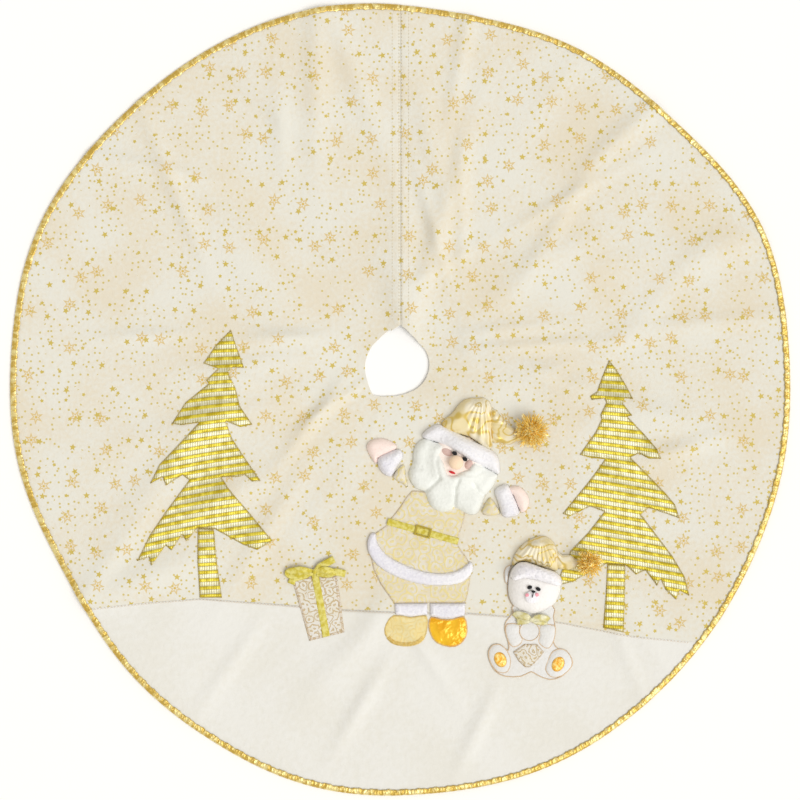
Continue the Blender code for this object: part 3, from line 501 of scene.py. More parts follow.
def folds(points):
    """Height of the cloth above its flat level at an array of points."""
    x, y = points[:, 0], points[:, 1]
    height = 1.2 * MM * (1 + np.sin(9 * x + 4 * y) * np.cos(7 * y - 3 * x + 1))
    for cx, cy, dx, dy, length, width, rise in RIDGES:
        along = (x - cx) * dx + (y - cy) * dy
        across = (y - cy) * dx - (x - cx) * dy
        height = height + rise * np.exp(-(along / length) ** 2 - (across / width) ** 2)
    for at, direction, inward in FOLD_LINES.values():
        off = (x - at[0]) * inward[0] + (y - at[1]) * inward[1]
        height = height * (1 - 0.85 * np.exp(-(off / 0.05) ** 2))
    for (cx, cy), reach in FLAT_SPOTS:
        far = np.hypot(x - cx * MM, y - cy * MM) / (reach * MM)
        height = height * (1 - np.exp(-far ** 6))
    return height


print("folds up to", round(float(folds(np.random.default_rng(1).uniform(-.6, .6, (4000, 2))
                                       ).max()) / MM, 1), "mm")

# %% [markdown]
# ## Outlines and soft shapes
# A plane laid through a CAD node leaves its outline. That outline, as one face, is cut by rows of
# planes into an even grid, which can then be raised: a little for a flat applique, and by a
# rounded profile for a stuffed piece. The profile depends on the distance to the edge, so the
# piece swells in the middle and pinches at its seam, as a stuffed piece does.

# %% Outline helpers
def outline_of(node):
    """The outline of a CAD node half way up, as an array of points."""
    low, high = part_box(node)
    shape = bmesh.new()
    shape.from_mesh(frame["nodes"][node].data)
    bmesh.ops.remove_doubles(shape, verts=shape.verts, dist=1e-6)
    bmesh.ops.bisect_plane(shape, geom=shape.verts[:] + shape.edges[:] + shape.faces[:],
                           plane_co=(0, 0, (low.z + high.z) / 2), plane_no=(0, 0, 1),
                           clear_inner=True, clear_outer=True)
    first = shape.verts[:][0]
    loop, before, here = [first], None, first
    while True:
        onward = [e.other_vert(here) for e in here.link_edges if e.other_vert(here) is not before]
        if not onward or onward[0] is first:
            break
        before, here = here, onward[0]
        loop.append(here)
    points = np.array([vert.co[:2] for vert in loop])
    shape.free()
    return points if signed_area(points) > 0 else points[::-1]


def signed_area(points):
    x, y = points[:, 0], points[:, 1]
    return 0.5 * float(np.sum(x * np.roll(y, -1) - np.roll(x, -1) * y))


def evenly(points, spacing, closed=True):
    """Points at even distances along a line, and the direction to its left at each."""
    line = np.vstack([points, points[:1]]) if closed else np.asarray(points, float)
    steps = np.linalg.norm(np.diff(line, axis=0), axis=1)
    reached = np.concatenate([[0], np.cumsum(steps)])
    count = max(2, round(reached[-1] / spacing))
    stops = np.linspace(0, reached[-1], count + 1)[:-1 if closed else None]
    even = np.column_stack([np.interp(stops, reached, line[:, k]) for k in (0, 1)])
    if closed:
        tangent = np.roll(even, -1, axis=0) - np.roll(even, 1, axis=0)
    else:
        tangent = np.gradient(even, axis=0)
    tangent /= np.maximum(np.linalg.norm(tangent, axis=1), 1e-9)[:, None]
    return even, np.column_stack([-tangent[:, 1], tangent[:, 0]])


def line_distance(points, line, closed=True):
    """Distance from each point to a line."""
    nearest = np.full(len(points), 1e9)
    ends = np.roll(line, -1, axis=0) if closed else line[1:]
    for start, end in zip(line, ends):
        run = end - start
        share = np.clip((points - start) @ run / max(run @ run, 1e-12), 0, 1)
        nearest = np.minimum(nearest, np.linalg.norm(points - start - share[:, None] * run,
                                                     axis=1))
    return nearest


def cut_grid(outline, step):
    """A flat face with the given outline, cut into an even grid."""
    shape = bmesh.new()
    shape.faces.new([shape.verts.new((x, y, 0)) for x, y in outline])
    for axis, normal in ((0, (1, 0, 0)), (1, (0, 1, 0))):
        stop = outline[:, axis].max()
        at = (math.floor(outline[:, axis].min() / step) + 0.5) * step
        while at < stop:
            place = (at, 0, 0) if axis == 0 else (0, at, 0)
            bmesh.ops.bisect_plane(shape, geom=shape.verts[:] + shape.edges[:] + shape.faces[:],
                                   plane_co=place, plane_no=normal, dist=1e-7)
            at += step
    return shape


def corners(verts):
    return np.array([vert.co[:2] for vert in verts]).reshape(-1, 2)


def raise_grid(shape, top, bottom):
    """Give a flat grid two sides at the heights that top and bottom say, closed at the rim."""
    below = shape.verts[:]
    made = bmesh.ops.extrude_face_region(shape, geom=shape.faces[:])["geom"]
    above = [item for item in made if isinstance(item, bmesh.types.BMVert)]
    for verts, level in ((above, top), (below, bottom)):
        for vert, z in zip(verts, level(corners(verts))):
            vert.co.z = z
    bmesh.ops.remove_doubles(shape, verts=shape.verts, dist=1e-5)
    bmesh.ops.recalc_face_normals(shape, faces=shape.faces)


def flat_uv(shape, place=lambda vert: vert.co.xy):
    """A UV map in metres of flat cloth, from a place for each vertex."""
    layer = shape.loops.layers.uv.new("flat_cloth")
    for face in shape.faces:
        for loop in face.loops:
            loop[layer].uv = place(loop.vert)


def new_piece(name, shape, material, body=None, nodes=(), crisp=None):
    """A finished mesh object that rides on a body and stands for its CAD nodes.

    Edges that turn by more than crisp, in degrees, are shaded as sharp ones."""
    mesh = bpy.data.meshes.new(name)
    shape.to_mesh(mesh)
    shape.free()
    mesh.materials.append(MATERIALS[material])
    mesh.shade_smooth()
    if crisp:
        mesh.set_sharp_from_angle(angle=math.radians(crisp))
    obj = bpy.data.objects.new(name, mesh)
    bpy.context.scene.collection.objects.link(obj)
    if body:
        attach(obj, body)
    if nodes:
        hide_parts(*nodes)
    return obj


def body_of_node(node):
    return frame["nodes"][node]["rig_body"]


def lie_flat(outline):
    """Work out a piece's size from its outline, shrunk where the shape fills little of its box;
    nothing is kept.
    """
    size = np.ptp(outline, axis=0)
    area = abs(signed_area(outline))
    share = area / float(size[0] * size[1])
    if share < 0.32:
        size = size * math.sqrt(share / 0.32)


def applique(node, material, step=0.003, level=ON_CLOTH, thick=0.0012, puff=0.0, surface=None):
    """A flat piece of cloth sewn on the skirt, slightly puffed between its stitches."""
    outline = outline_of(node)
    shape = cut_grid(outline, step)

    def top(points):
        near = line_distance(points, outline)
        rise = thick * (0.25 + 0.75 * np.clip(near / 0.0025, 0, 1))
        rise = rise + puff * (1 - np.exp(-(near / 0.018) ** 2))
        if surface:
            rise = rise + surface(points) * np.clip(near / 0.003, 0, 1)
        return level + folds(points) + rise

    raise_grid(shape, top, lambda points: level + folds(points))
    obj = new_piece(f"{node}_applique", shape, material, body_of_node(node), [node])
    lie_flat(outline)
    return obj, outline


def grown(outline, by):
    """An outline moved outwards, so that a piece tucks under its neighbour."""
    even, left = evenly(outline, 0.002)
    return even - left * by


def on_cloth(points):
    return ON_CLOTH + folds(points)


def on_applique(points):
    return ON_APPLIQUE + folds(points)


def stuffed(node, material, height, rise, step=0.002, level=on_cloth, creases=(), fuzz=0.0,
            outline=None, swell=None, tuck=0.0):
    """A stuffed piece: it swells from its seam to height within the distance rise.

    tuck is how far it reaches beyond its CAD outline, under the piece beside it."""
    outline = outline_of(node) if outline is None else outline
    if tuck:
        outline = grown(outline, tuck)
    shape = cut_grid(outline, step)

    def top(points):
        near = np.clip(line_distance(points, outline) / rise, 0, 1)
        crown = height * (1 - (1 - near) ** 2) ** 0.62
        for line, depth, width in creases:
            off = line_distance(points, np.array(line) * MM, closed=False)
            crown = crown - np.minimum(depth * np.exp(-(off / width) ** 2), crown * 0.8)
        if swell:
            crown = crown + swell(points) * np.clip(near * 3, 0, 1)
        if fuzz:
            crown = crown + fuzz * np.clip(near * 4, 0, 1) * tuft_noise(points)
        return level(points) + crown

    raise_grid(shape, top, level)
    obj = new_piece(f"{node}_stuffed", shape, material, body_of_node(node), [node])
    return obj, outline


def tuft_noise(points):
    """Small uneven bumps, from -1 to 1, that stand for tufts of pile."""
    x, y = points[:, 0] / MM, points[:, 1] / MM
    return (np.sin(1.31 * x + 2.1 * np.sin(0.37 * y)) * np.sin(1.17 * y + 1.7 * np.sin(0.43 * x))
            * 0.6 + 0.4 * np.sin(2.3 * x + 1.9 * y))


print("the tree outline has", len(outline_of("left_tree")), "points")

# %% [markdown]
# ## Thread
# Stitches are thin tubes. A poly curve with a round bevel is the easiest way to sweep one: many
# short lines share a single curve, which is then turned into a mesh.

# %% Thread and ribbon helpers
def swept(name, paths, radius, material, body="skirt", width=0.0, tilts=None):
    """Tubes, or flat strips where width is given, along paths of 3-D points."""
    curve = bpy.data.curves.new(name, "CURVE")
    curve.dimensions = "3D"
    curve.bevel_depth = radius
    curve.bevel_resolution = 0
    curve.extrude = width / 2
    curve.use_fill_caps = not width
    for number, path in enumerate(paths):
        spline = curve.splines.new("POLY")
        spline.points.add(len(path) - 1)
        for point, place in zip(spline.points, path):
            point.co = (*place, 1.0)
            if tilts:
                point.tilt = tilts[number]
    holder = bpy.data.objects.new(f"{name}_path", curve)
    bpy.context.scene.collection.objects.link(holder)
    bpy.context.view_layer.update()
    graph = bpy.context.evaluated_depsgraph_get()
    mesh = bpy.data.meshes.new_from_object(holder.evaluated_get(graph))
    bpy.data.objects.remove(holder)
    shape = bmesh.new()
    shape.from_mesh(mesh)
    bmesh.ops.remove_doubles(shape, verts=shape.verts, dist=1e-7)
    return new_piece(name, shape, material, body)


def zigzag(name, outline, material, width=0.0022, pitch=0.0022, inset=0.0008,
           level=ON_CLOTH + 1.2 * MM, radius=0.0003, closed=True):
    """A zigzag stitch that holds down an edge."""
    even, left = evenly(outline, pitch / 2, closed)
    side = np.where(np.arange(len(even)) % 2 == 0, inset + width / 2, inset - width / 2)
    stitched = even + left * side[:, None]
    lift = np.where(side > inset, level, level - 0.9 * MM)
    path = np.column_stack([stitched, lift + folds(stitched)])
    if closed:
        path = np.vstack([path, path[:1]])
    return swept(name, [path], radius, material)


def dashes(name, line, body, pitch=0.005):
    """A running stitch of cream thread: short arched threads."""
    even, _ = evenly(line, pitch / 4, closed=False)
    paths = []
    for start in range(0, len(even) - 3, 4):
        points = even[start:start + 3]
        height = np.array([0.0, 0.5, 0.0]) * MM + CLOTH_TOP
        paths.append(np.column_stack([points, folds(points) + height]))
    return swept(name, paths, 0.00035, "cream_thread", body)


def outline_thread(name, outline, level, inset=0.001, radius=0.0005, closed=True):
    """A line of tan embroidery that follows an edge at a level above the cloth's folds."""
    even, left = evenly(outline, 0.0018, closed)
    line = even + left * inset
    path = np.column_stack([line, level + folds(line)])
    if closed:
        path = np.vstack([path, path[:1]])
    return swept(name, [path], radius, "tan_thread")


# %% [markdown]
# ## The skirt
# Each half of the fleece is one sheet, from the slit round to the bottom. Rays from the trunk
# opening carry its grid, so the grid follows the opening, the slit and the hem alike. A half
# covers its flap and its share of the fixed cloth.

# %% Hem, opening and seam
HUB = np.array((0.0, HOLE[1]))
RIM_RADIUS = 0.598
RIM_WAVES = ((3, 8.0, 80), (2, 6.0, -131), (5, 3.0, 131), (1, 2.0, 68), (9, 1.8, -130),
             (8, 1.6, 160), (4, 1.6, 28), (11, 1.4, -55))    # count, size in mm, phase


def rim_radius(angle):
    wave = sum(size * np.cos(count * angle - math.radians(phase))
               for count, size, phase in RIM_WAVES)
    return RIM_RADIUS + wave * MM


def seam_points():
    """The seam of the snow field, from left to right, off the CAD node's outline."""
    outline = outline_of("snow_cloth")
    seam = outline[np.hypot(*outline.T) < 0.5975]
    return seam[np.argsort(seam[:, 0])]


SEAM = seam_points()
SEAM = np.vstack([[-0.51, SEAM[0, 1] - 0.004], SEAM, [0.48, SEAM[-1, 1] - 0.003]])


def seam_y(x):
    return np.interp(x, SEAM[:, 0], SEAM[:, 1])


HOLE_BEARINGS = np.radians((-90, -72, -45, -20, 0, 25, 50, 72, 90, 108, 130, 155, 180, 205, 228,
                            250, 270))
HOLE_REACH = np.array((46, 44, 44, 44, 44, 44, 43, 49, 60, 55, 51, 52, 54, 56, 62, 51, 46)) * MM


def in_hole(point):
    """The opening as it lies: flat below, drawn to a peak where the slit begins."""
    offset = point - HUB
    bearing = math.atan2(offset[1], offset[0])
    if bearing < -math.pi / 2:
        bearing += math.tau
    return np.linalg.norm(offset) < np.interp(bearing, HOLE_BEARINGS, HOLE_REACH)


def ray_end(angle, inside):
    """How far along a ray from the hub a shape reaches."""
    direction = np.array((math.cos(angle), math.sin(angle)))
    low, high = 0.0, 0.8
    for _ in range(22):
        middle = (low + high) / 2
        if inside(HUB + direction * middle):
            low = middle
        else:
            high = middle
    return low


def in_rim(point):
    return math.hypot(*point) < rim_radius(math.atan2(point[1], point[0])) - 1 * MM


def above_seam(point):
    return in_rim(point) and point[1] > seam_y(point[0]) - 6 * MM


def half_sheet(side, columns, rows, inside, top, bottom, keep_off=SLIT_HALF, shrink=0.0,
               angles=(90, 270), start=in_hole):
    """One half of the skirt as a closed sheet; side is 1 for the left half, -1 for the right."""
    turns = [math.radians(90 + side * (angles[0] - 90 + (angles[1] - angles[0]) * k / columns))
             for k in range(columns + 1)]
    starts = [ray_end(turn, start) for turn in turns]
    ends = [ray_end(turn, inside) - shrink for turn in turns]
    shape = bmesh.new()
    bmesh.ops.create_grid(shape, x_segments=columns, y_segments=rows, size=0.5)
    for vert in shape.verts:
        column = round((vert.co.x + 0.5) * columns)
        reach = starts[column] + (ends[column] - starts[column]) * (vert.co.y + 0.5)
        x = HUB[0] + math.cos(turns[column]) * reach
        y = HUB[1] + math.sin(turns[column]) * reach
        if y > HOLE[1]:
            x = min(x, -keep_off) if side > 0 else max(x, keep_off)
        vert.co = (x, y, 0)
    flat_uv(shape)
    cut = sum(face.calc_area() for face in shape.faces)
    raise_grid(shape, top, bottom)
    return shape, cut


def bend_at_fold(obj, word):
    at, along, inward = FOLD_LINES[word]
    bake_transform(obj)


# %% Fleece and lining
def slit_dip(points):
    """The fleece thins at the slit, where it is turned under and pressed."""
    beside = np.exp(-(points[:, 0] / 0.002) ** 2)
    return 1.1 * MM * beside * (points[:, 1] > HOLE[1])


COLUMNS, ROWS = ((300, 92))
for side, word in ((1, "left"), (-1, "right")):
    shape, cut = half_sheet(side, COLUMNS, ROWS, above_seam,
                            lambda points: CLOTH_TOP + folds(points) - slit_dip(points),
                            lambda points: CLOTH_LOW + folds(points))
    fleece = new_piece(f"{word}_star_fleece", shape, "star_fleece", None,
                       ["star_cloth", f"{word}_flap_cloth"], crisp=50)
    bend_at_fold(fleece, word)
    shape, cut = half_sheet(side, COLUMNS // 2, ROWS // 2, in_rim,
                            lambda points: LINING_TOP + folds(points),
                            lambda points: 0.1 * MM + folds(points), 0.0155, 7 * MM)
    lining = new_piece(f"{word}_lining", shape, "lining_cloth", None,
                       ["lining", f"{word}_flap_lining"], crisp=50)
    bend_at_fold(lining, word)
    print(word, "half of the fleece:", len(fleece.data.polygons), "faces")

# %% Snow field
spans = [turn for turn in np.arange(180, 360, 0.5)
         if ray_end(math.radians(turn), above_seam) < ray_end(math.radians(turn), in_rim) - 1e-4]
snow_angles = (spans[0] - 0.4, spans[-1] + 0.4)


def above_snow(point):
    return point[1] > seam_y(point[0])


def snow_top(points):
    off = seam_y(points[:, 0]) - points[:, 1]
    rounded = 0.35 * MM * np.exp(-(off / 0.0012) ** 2)
    return (CLOTH_TOP + folds(points) - rounded
            + 0.5 * MM * np.exp(-np.clip(off, 0, 1) / 0.02))


shape, cut = half_sheet(1, COLUMNS // 2 + 60, ROWS // 2, in_rim, snow_top,
                        lambda points: CLOTH_TOP + folds(points) - 1.5 * MM
                        + 1.6 * MM * np.exp(-np.abs(seam_y(points[:, 0]) - points[:, 1]) / 0.02),
                        angles=snow_angles, start=above_snow)
snow = new_piece("snow_field", shape, "snow_fleece", "skirt", ["snow_cloth"])
print("snow field of", round(cut, 3), "square metres")

# %% [markdown]
# ## Binding and stitches of the skirt
# Gold tape is folded over the raw edge and sewn down. Sewing a straight tape round a curve
# gathers it, so its surface is all small slanting pleats. The grid below runs round the rim and
# over the edge, and waves of several lengths round the rim raise the pleats.

# %% Binding
TAPE = 0.0080
TAPE_CUT = 2.4 * TAPE          # width of the tape before it is folded
TAPE_TOP, TAPE_LOW = 4.3 * MM, -0.1 * MM
FOLD_START, FOLD_END = 0.35, 0.65    # shares of the tape between which it turns over the edge


def tape_point(angle, share, shift):
    """A place on the folded tape: share 0 is its upper inner edge, 1 its lower inner edge."""
    rim = rim_radius(angle)
    pleat = (math.sin(angle * 520 + 2.4 * math.sin(angle * 133) + share * 5)
             + 0.6 * math.sin(angle * 870 + shift - share * 8))
    wander = 0.6 * MM * math.sin(angle * 160) + 0.4 * MM * math.sin(angle * 420 + 1)
    half_turn = math.pi * share
    if FOLD_START < share < FOLD_END:
        bulge = math.sin(math.pi * (share - FOLD_START) / (FOLD_END - FOLD_START))
        radius = rim + 1.1 * MM * bulge - 0.4 * MM
        level = TAPE_LOW + (TAPE_TOP - TAPE_LOW) * (0.5 + 0.5 * math.cos(half_turn))
    else:
        inward = max(FOLD_START - share, share - FOLD_END) / FOLD_START
        radius = rim - inward * (TAPE + wander) - 0.4 * MM
        level = TAPE_TOP if share < 0.5 else TAPE_LOW
    puff = 0.22 * MM * pleat * (1 if share < 0.5 else 0.2)
    radius += 0.12 * MM * pleat * math.sin(half_turn)
    return radius, max(level + puff, 0.0)


for side, word in ((1, "left"), (-1, "right")):
    count = 1500
    slit = SLIT_HALF / RIM_RADIUS
    shape = bmesh.new()
    bmesh.ops.create_grid(shape, x_segments=count, y_segments=10, size=0.5)
    spots = {}
    for vert in shape.verts:
        angle = math.pi / 2 + side * (slit + (math.pi - slit) * (vert.co.x + 0.5))
        share = vert.co.y + 0.5
        radius, level = tape_point(angle, share, side)
        spots[vert] = (angle * RIM_RADIUS, share * TAPE_CUT)
        vert.co = (radius * math.cos(angle), radius * math.sin(angle), level)
    flat_uv(shape, spots.get)
    verts = shape.verts[:]
    for vert, rise in zip(verts, folds(corners(verts))):
        vert.co.z += rise
    bmesh.ops.recalc_face_normals(shape, faces=shape.faces)
    bmesh.ops.solidify(shape, geom=shape.faces[:], thickness=0.3 * MM)
    nodes = [f"{word}_flap_binding", "edge_binding"]
    tape = new_piece(f"{word}_binding", shape, "gold_lame", None, nodes)
    bend_at_fold(tape, word)
    print(word, "binding:", len(tape.data.polygons), "faces")

# %% Slit tape and stitches
for side, word in ((-1, "left"), (1, "right")):
    node = f"{word}_slit_facing"
    outline = outline_of(node)
    shape = cut_grid(outline, 0.006)
    raise_grid(shape, lambda points: LINING_TOP + folds(points) + 0.1 * MM, folds)
    flat_uv(shape)
    facing = new_piece(f"{word}_slit_tape", shape, "lining_cloth", f"{word}_flap", [node])
    lie_flat(outline)
    for offset, label in ((0.0125, "hem"), (0.002, "edge")):
        line = np.array([(side * offset, 0.118), (side * offset, 0.588)])
        dashes(f"{word}_slit_{label}_stitch", line, f"{word}_flap")
seam_run = SEAM[1:-1] + (0, -0.0022)
zigzag("snow_seam_stitch", seam_run, "tan_thread", width=0.0030, pitch=0.0052, inset=0.0,
       level=CLOTH_TOP + 0.9 * MM, radius=0.0003, closed=False)
print("sewed the slit and the snow seam")

# %% [markdown]
# ## Trees
# Both trees are cut from the striped lame, so the stripes are the cloth's and not the tree's: they
# run on under the cut edge. On the left tree they climb to the right, on the right tree they
# fall. The gold cords stand up a little between the puckered bands.

# %% Trees
TREE_HALF = 0.18              # half the height over which a tree's stripes lean


def across_stripes(x, y, centre, lean, bend):
    """How far a place lies across the stripes, which lean less towards the tree's top."""
    share = np.clip((y - centre[1] + TREE_HALF) / (2 * TREE_HALF), 0, 1)
    slope = lean * (1 - 0.75 * np.maximum(0, share - 0.45) / 0.55) + bend * (x - centre[0])
    return y - slope * (x - centre[0]) + 2


def stripe_uv(obj, centre, lean, bend):
    """A UV map whose V runs across the stripes of a leaning cloth."""
    mesh = obj.data
    layer = mesh.uv_layers.new(name="stripes")
    for loop in mesh.loops:
        x, y, _ = mesh.vertices[loop.vertex_index].co
        layer.data[loop.index].uv = (x - centre[0], across_stripes(x, y, centre, lean, bend))


def stripe_relief(centre, lean, bend):
    """The height of the gold cords, one in each stripe."""
    def relief(points):
        place = across_stripes(points[:, 0], points[:, 1], centre, lean, bend)
        return 0.8 * MM * np.exp(-((place / STRIPE_PERIOD % 1 - 0.5) / 0.2) ** 2)
    return relief


for word, centre, lean, bend in (("left", (-0.293, -0.08), 0.17, -0.35),
                                 ("right", (0.335, -0.12), -0.17, -0.1)):
    for node, tilt in ((f"{word}_tree", lean), (f"{word}_tree_trunk", lean * 0.3)):
        obj, outline = applique(node, "striped_lame", 0.002,
                                surface=stripe_relief(centre, tilt, bend))
        stripe_uv(obj, centre, tilt, bend)
        zigzag(f"{node}_stitch", outline, "gold_thread", width=0.0024, pitch=0.0018,
               inset=0.001, level=ON_CLOTH + 1.5 * MM, radius=0.00038)
    print(word, "tree:", len(obj.data.polygons), "trunk faces")

# %% [markdown]
# ## Ribbon
# A ribbon is a strip that is far wider than thick. Each run is a grid laid along a smooth path:
# its width stands square to the path, and its edges cup a little. Loops and tails of a bow are
# separate runs, as they are in a tied bow, held at the knot by a short wrap.

# %% Ribbon helper
def smooth_path(points, spacing):
    """A smooth line through 3-D points given in millimetres, at even steps."""
    points = np.array(points, float) * MM
    ends = np.vstack([2 * points[0] - points[1], points, 2 * points[-1] - points[-2]])
    line = []
    for k in range(1, len(ends) - 2):
        a, b, c, d = ends[k - 1:k + 3]
        for share in np.arange(0, 1, 0.1):
            line.append(0.5 * (2 * b + (c - a) * share + (2 * a - 5 * b + 4 * c - d) * share ** 2
                               + (3 * b - a - 3 * c + d) * share ** 3))
    line = np.array(line + [points[-1]])
    reached = np.concatenate([[0], np.cumsum(np.linalg.norm(np.diff(line, axis=0), axis=1))])
    stops = np.linspace(0, reached[-1], max(3, round(reached[-1] / spacing)))
    return np.column_stack([np.interp(stops, reached, line[:, k]) for k in range(3)])


RIBBON_STEP = 0.0016
PINCH = 0.35                  # share of its width that a run has at the knot


def ribbon(name, runs, width, material, body, nodes):
    """Strips along runs of points in millimetres; a run is pinched where it starts."""
    whole = bmesh.new()
    for run in runs:
        path = smooth_path(run, RIBBON_STEP)
        side = np.gradient(path[:, :2], axis=0)
        side = np.column_stack([-side[:, 1], side[:, 0]])
        side /= np.maximum(np.linalg.norm(side, axis=1), 1e-9)[:, None]
        before = set(whole.verts)
        bmesh.ops.create_grid(whole, x_segments=len(path) - 1, y_segments=6, size=0.5)
        fresh = [vert for vert in whole.verts if vert not in before]
        for vert in fresh:
            at = round((vert.co.x + 0.5) * (len(path) - 1))
            across = vert.co.y * 2
            open_share = min(1.0, PINCH + (1 - PINCH) * 4 * at / len(path))
            reach = width / 2 * across * open_share
            crimp = 0.5 * MM * math.cos(across * 7) * (1 - open_share) / (1 - PINCH)
            vert.co = (path[at][0] + side[at][0] * reach, path[at][1] + side[at][1] * reach,
                       path[at][2] - 0.6 * MM * across ** 2 + crimp)
    bmesh.ops.recalc_face_normals(whole, faces=whole.faces)
    bmesh.ops.solidify(whole, geom=whole.faces[:], thickness=0.4 * MM)
    obj = new_piece(name, whole, material, body, nodes)


# %% [markdown]
# ## The parcel
# A panel of printed brocade is sewn on with a zigzag, a lame ribbon runs down it, and a bow is
# caught at its top by one stitch, so that it can turn there.

# %% Parcel
_, outline = applique("gift_panel", "brocade", 0.003, puff=0.0010)
zigzag("gift_panel_stitch", outline, "tan_thread", width=0.0022, pitch=0.0026, radius=0.00032)
outline_thread("gift_panel_cord", outline, ON_CLOTH + 1.9 * MM, 0.003, 0.0003)
applique("gift_ribbon", "gold_ribbon", 0.002, ON_APPLIQUE + 0.5 * MM, 0.0006, puff=0.0006)
KNOT = (-131, -265)
bow_runs = [
    [(-133, -264, 8), (-150, -262, 13), (-168, -265, 11), (-171, -269, 8), (-160, -271, 8),
     (-134, -266, 7)],
    [(-129, -264, 8), (-118, -262, 12), (-108, -264, 11), (-104, -267, 9), (-112, -269, 8),
     (-128, -267, 7)],
    [(-131, -264, 8), (-120, -256, 10), (-101, -246, 8)],
    [(-130, -266, 7), (-112, -266, 8), (-96, -266, 8), (-84, -269, 6.5)],
    [(-134, -267, 7), (-150, -272, 7.5), (-163, -276, 6.5), (-167, -284, 6)],
]
ribbon("gift_bow_ribbon", bow_runs, 0.0110, "gold_ribbon", "gift_bow_knot", ["gift_bow"])
print("tied the bow in", len(bow_runs), "runs")

# %% [markdown]
# ## Father Christmas, the flat clothes
# Coat, trousers and boots are appliques in a cream jacquard and two boot cloths. The coat's fur
# hem and the cuffs of the legs are strips of short white pile. The left boot is edged at the
# toe with long satin stitches.

# %% Coat, trousers and boots
for node in ("santa_coat", "santa_trousers"):
    _, outline = applique(node, "coat_jacquard", 0.003, puff=0.0008)
    zigzag(f"{node}_stitch", outline, "tan_thread", width=0.0022, pitch=0.0022, radius=0.0003)


def pile_rows(line_gap):
    """Fine ribs that run up and down, as combed pile has."""
    def rows(points):
        return 0.35 * MM * np.sin(points[:, 0] / line_gap * math.tau
                                  + 2 * np.sin(points[:, 1] / 0.012))
    return rows


stuffed("santa_coat_fur", "white_fur", 0.0055, 0.0055, 0.0018, on_applique,
        fuzz=0.0004, swell=pile_rows(0.004))
for node in ("santa_left_leg_cuff", "santa_right_leg_cuff"):
    stuffed(node, "white_fur", 0.006, 0.006, 0.0018, fuzz=0.0004, swell=pile_rows(0.004))
for word, cloth, thread in (("left", "boot_cloth", "satin_stitch"),
                            ("right", "boot_foil", "cream_thread")):
    node = f"santa_{word}_boot"
    _, outline = applique(node, cloth, 0.0022, puff=0.0024)
    zigzag(f"{node}_stitch", outline, thread, width=0.0024, pitch=0.0022, radius=0.00045)

toe = outline_of("santa_left_boot")
toe = toe[toe[:, 1] < -0.364]
toe = toe[np.argsort(toe[:, 0])]
even, left = evenly(toe, 0.0022, closed=False)
bars = []
for at, inward in zip(even, left):
    ends = np.array([at - inward * 0.0005, at + inward * 0.0028, at + inward * 0.0058])
    height = ON_CLOTH + np.array([0.4, 1.9, 2.3]) * MM
    bars.append(np.column_stack([ends, folds(ends) + height]))
swept("santa_left_boot_satin", bars, 0.0005, "satin_stitch")
print("dressed the legs with", len(bars), "satin stitches on the toe")

# %% Belt and buckle
BELT_LEVEL = 5.5 * MM
applique("santa_belt", "gold_ribbon", 0.002, BELT_LEVEL, 0.0006)
frame["nodes"]["santa_buckle"].material_slots[0].material = MATERIALS["buckle_metal"]

# %% [markdown]
# ## Father Christmas, the stuffed parts
# The head is a stuffed disc, and the beard, the hat's brim and its crown lie over it. The beard's
# lobes are one piece of plush, stitched through along the creases so that it puffs up between
# them. A pressure simulation could swell these pieces, but their seams and creases have to stay
# where the stitches are, so the rounded profile is computed straight from the outlines.

# %% Head, beard and arms
low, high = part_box("santa_head")
HEAD = np.array(((low.x + high.x) / 2, (low.y + high.y) / 2))
HEAD_RISE = 0.0135


def over_head(points):
    """A smooth dome over the head, which falls to the cloth round it."""
    reach = np.hypot(points[:, 0] - HEAD[0], points[:, 1] - HEAD[1])
    share = np.clip((reach - 0.014) / 0.036, 0, 1)
    return ON_CLOTH + folds(points) + HEAD_RISE * (0.5 + 0.5 * np.cos(math.pi * share))


stuffed("santa_head", "peach_fleece", HEAD_RISE, 0.016, 0.003)
beard_creases = (
    (((72, -70), (60, -82), (54, -97), (59, -122)), 0.0022, 0.0028),
    (((26, -146), (37, -144), (59, -123)), 0.0050, 0.0030),
    (((81, -170), (83, -150), (83, -138), (88, -126)), 0.0055, 0.0026),
    (((90, -113), (100, -117), (114, -118), (126, -112)), 0.0022, 0.0026),
    (((128, -150), (118, -143), (112, -132)), 0.0035, 0.0030),
    (((18, -104), (30, -108)), 0.0022, 0.0030),
)
stuffed("santa_beard", "cream_plush", 0.0125, 0.014, 0.0018, over_head, beard_creases, 0.0004,
        tuck=0.0010)
stuffed("santa_hat_brim", "white_fur", 0.0150, 0.0100, 0.0018, over_head, fuzz=0.0007,
        tuck=0.0015)
for word in ("left", "right"):
    stuffed(f"santa_{word}_sleeve", "coat_jacquard", 0.009, 0.010, 0.0018)
    stuffed(f"santa_{word}_mitten", "mitten_fleece", 0.0105, 0.012, 0.0018, tuck=0.0022)
    stuffed(f"santa_{word}_cuff", "white_fur", 0.0140, 0.011, 0.0018, fuzz=0.0007,
            tuck=0.0008)
print("stuffed the head, the beard and the arms")


# %% Face
def ball(name, centre, radii, material, nodes=(), turn=0.0, body="skirt", rings=16):
    """A closed ball with three radii, in millimetres, turned about the vertical."""
    shape = bmesh.new()
    bmesh.ops.create_uvsphere(shape, u_segments=2 * rings, v_segments=rings, radius=MM)
    bmesh.ops.scale(shape, vec=radii, verts=shape.verts)
    bmesh.ops.rotate(shape, cent=(0, 0, 0), matrix=Matrix.Rotation(math.radians(turn), 3, "Z"),
                     verts=shape.verts)
    bmesh.ops.translate(shape, vec=Vector(centre) * MM, verts=shape.verts)
    return new_piece(name, shape, material, body, nodes)


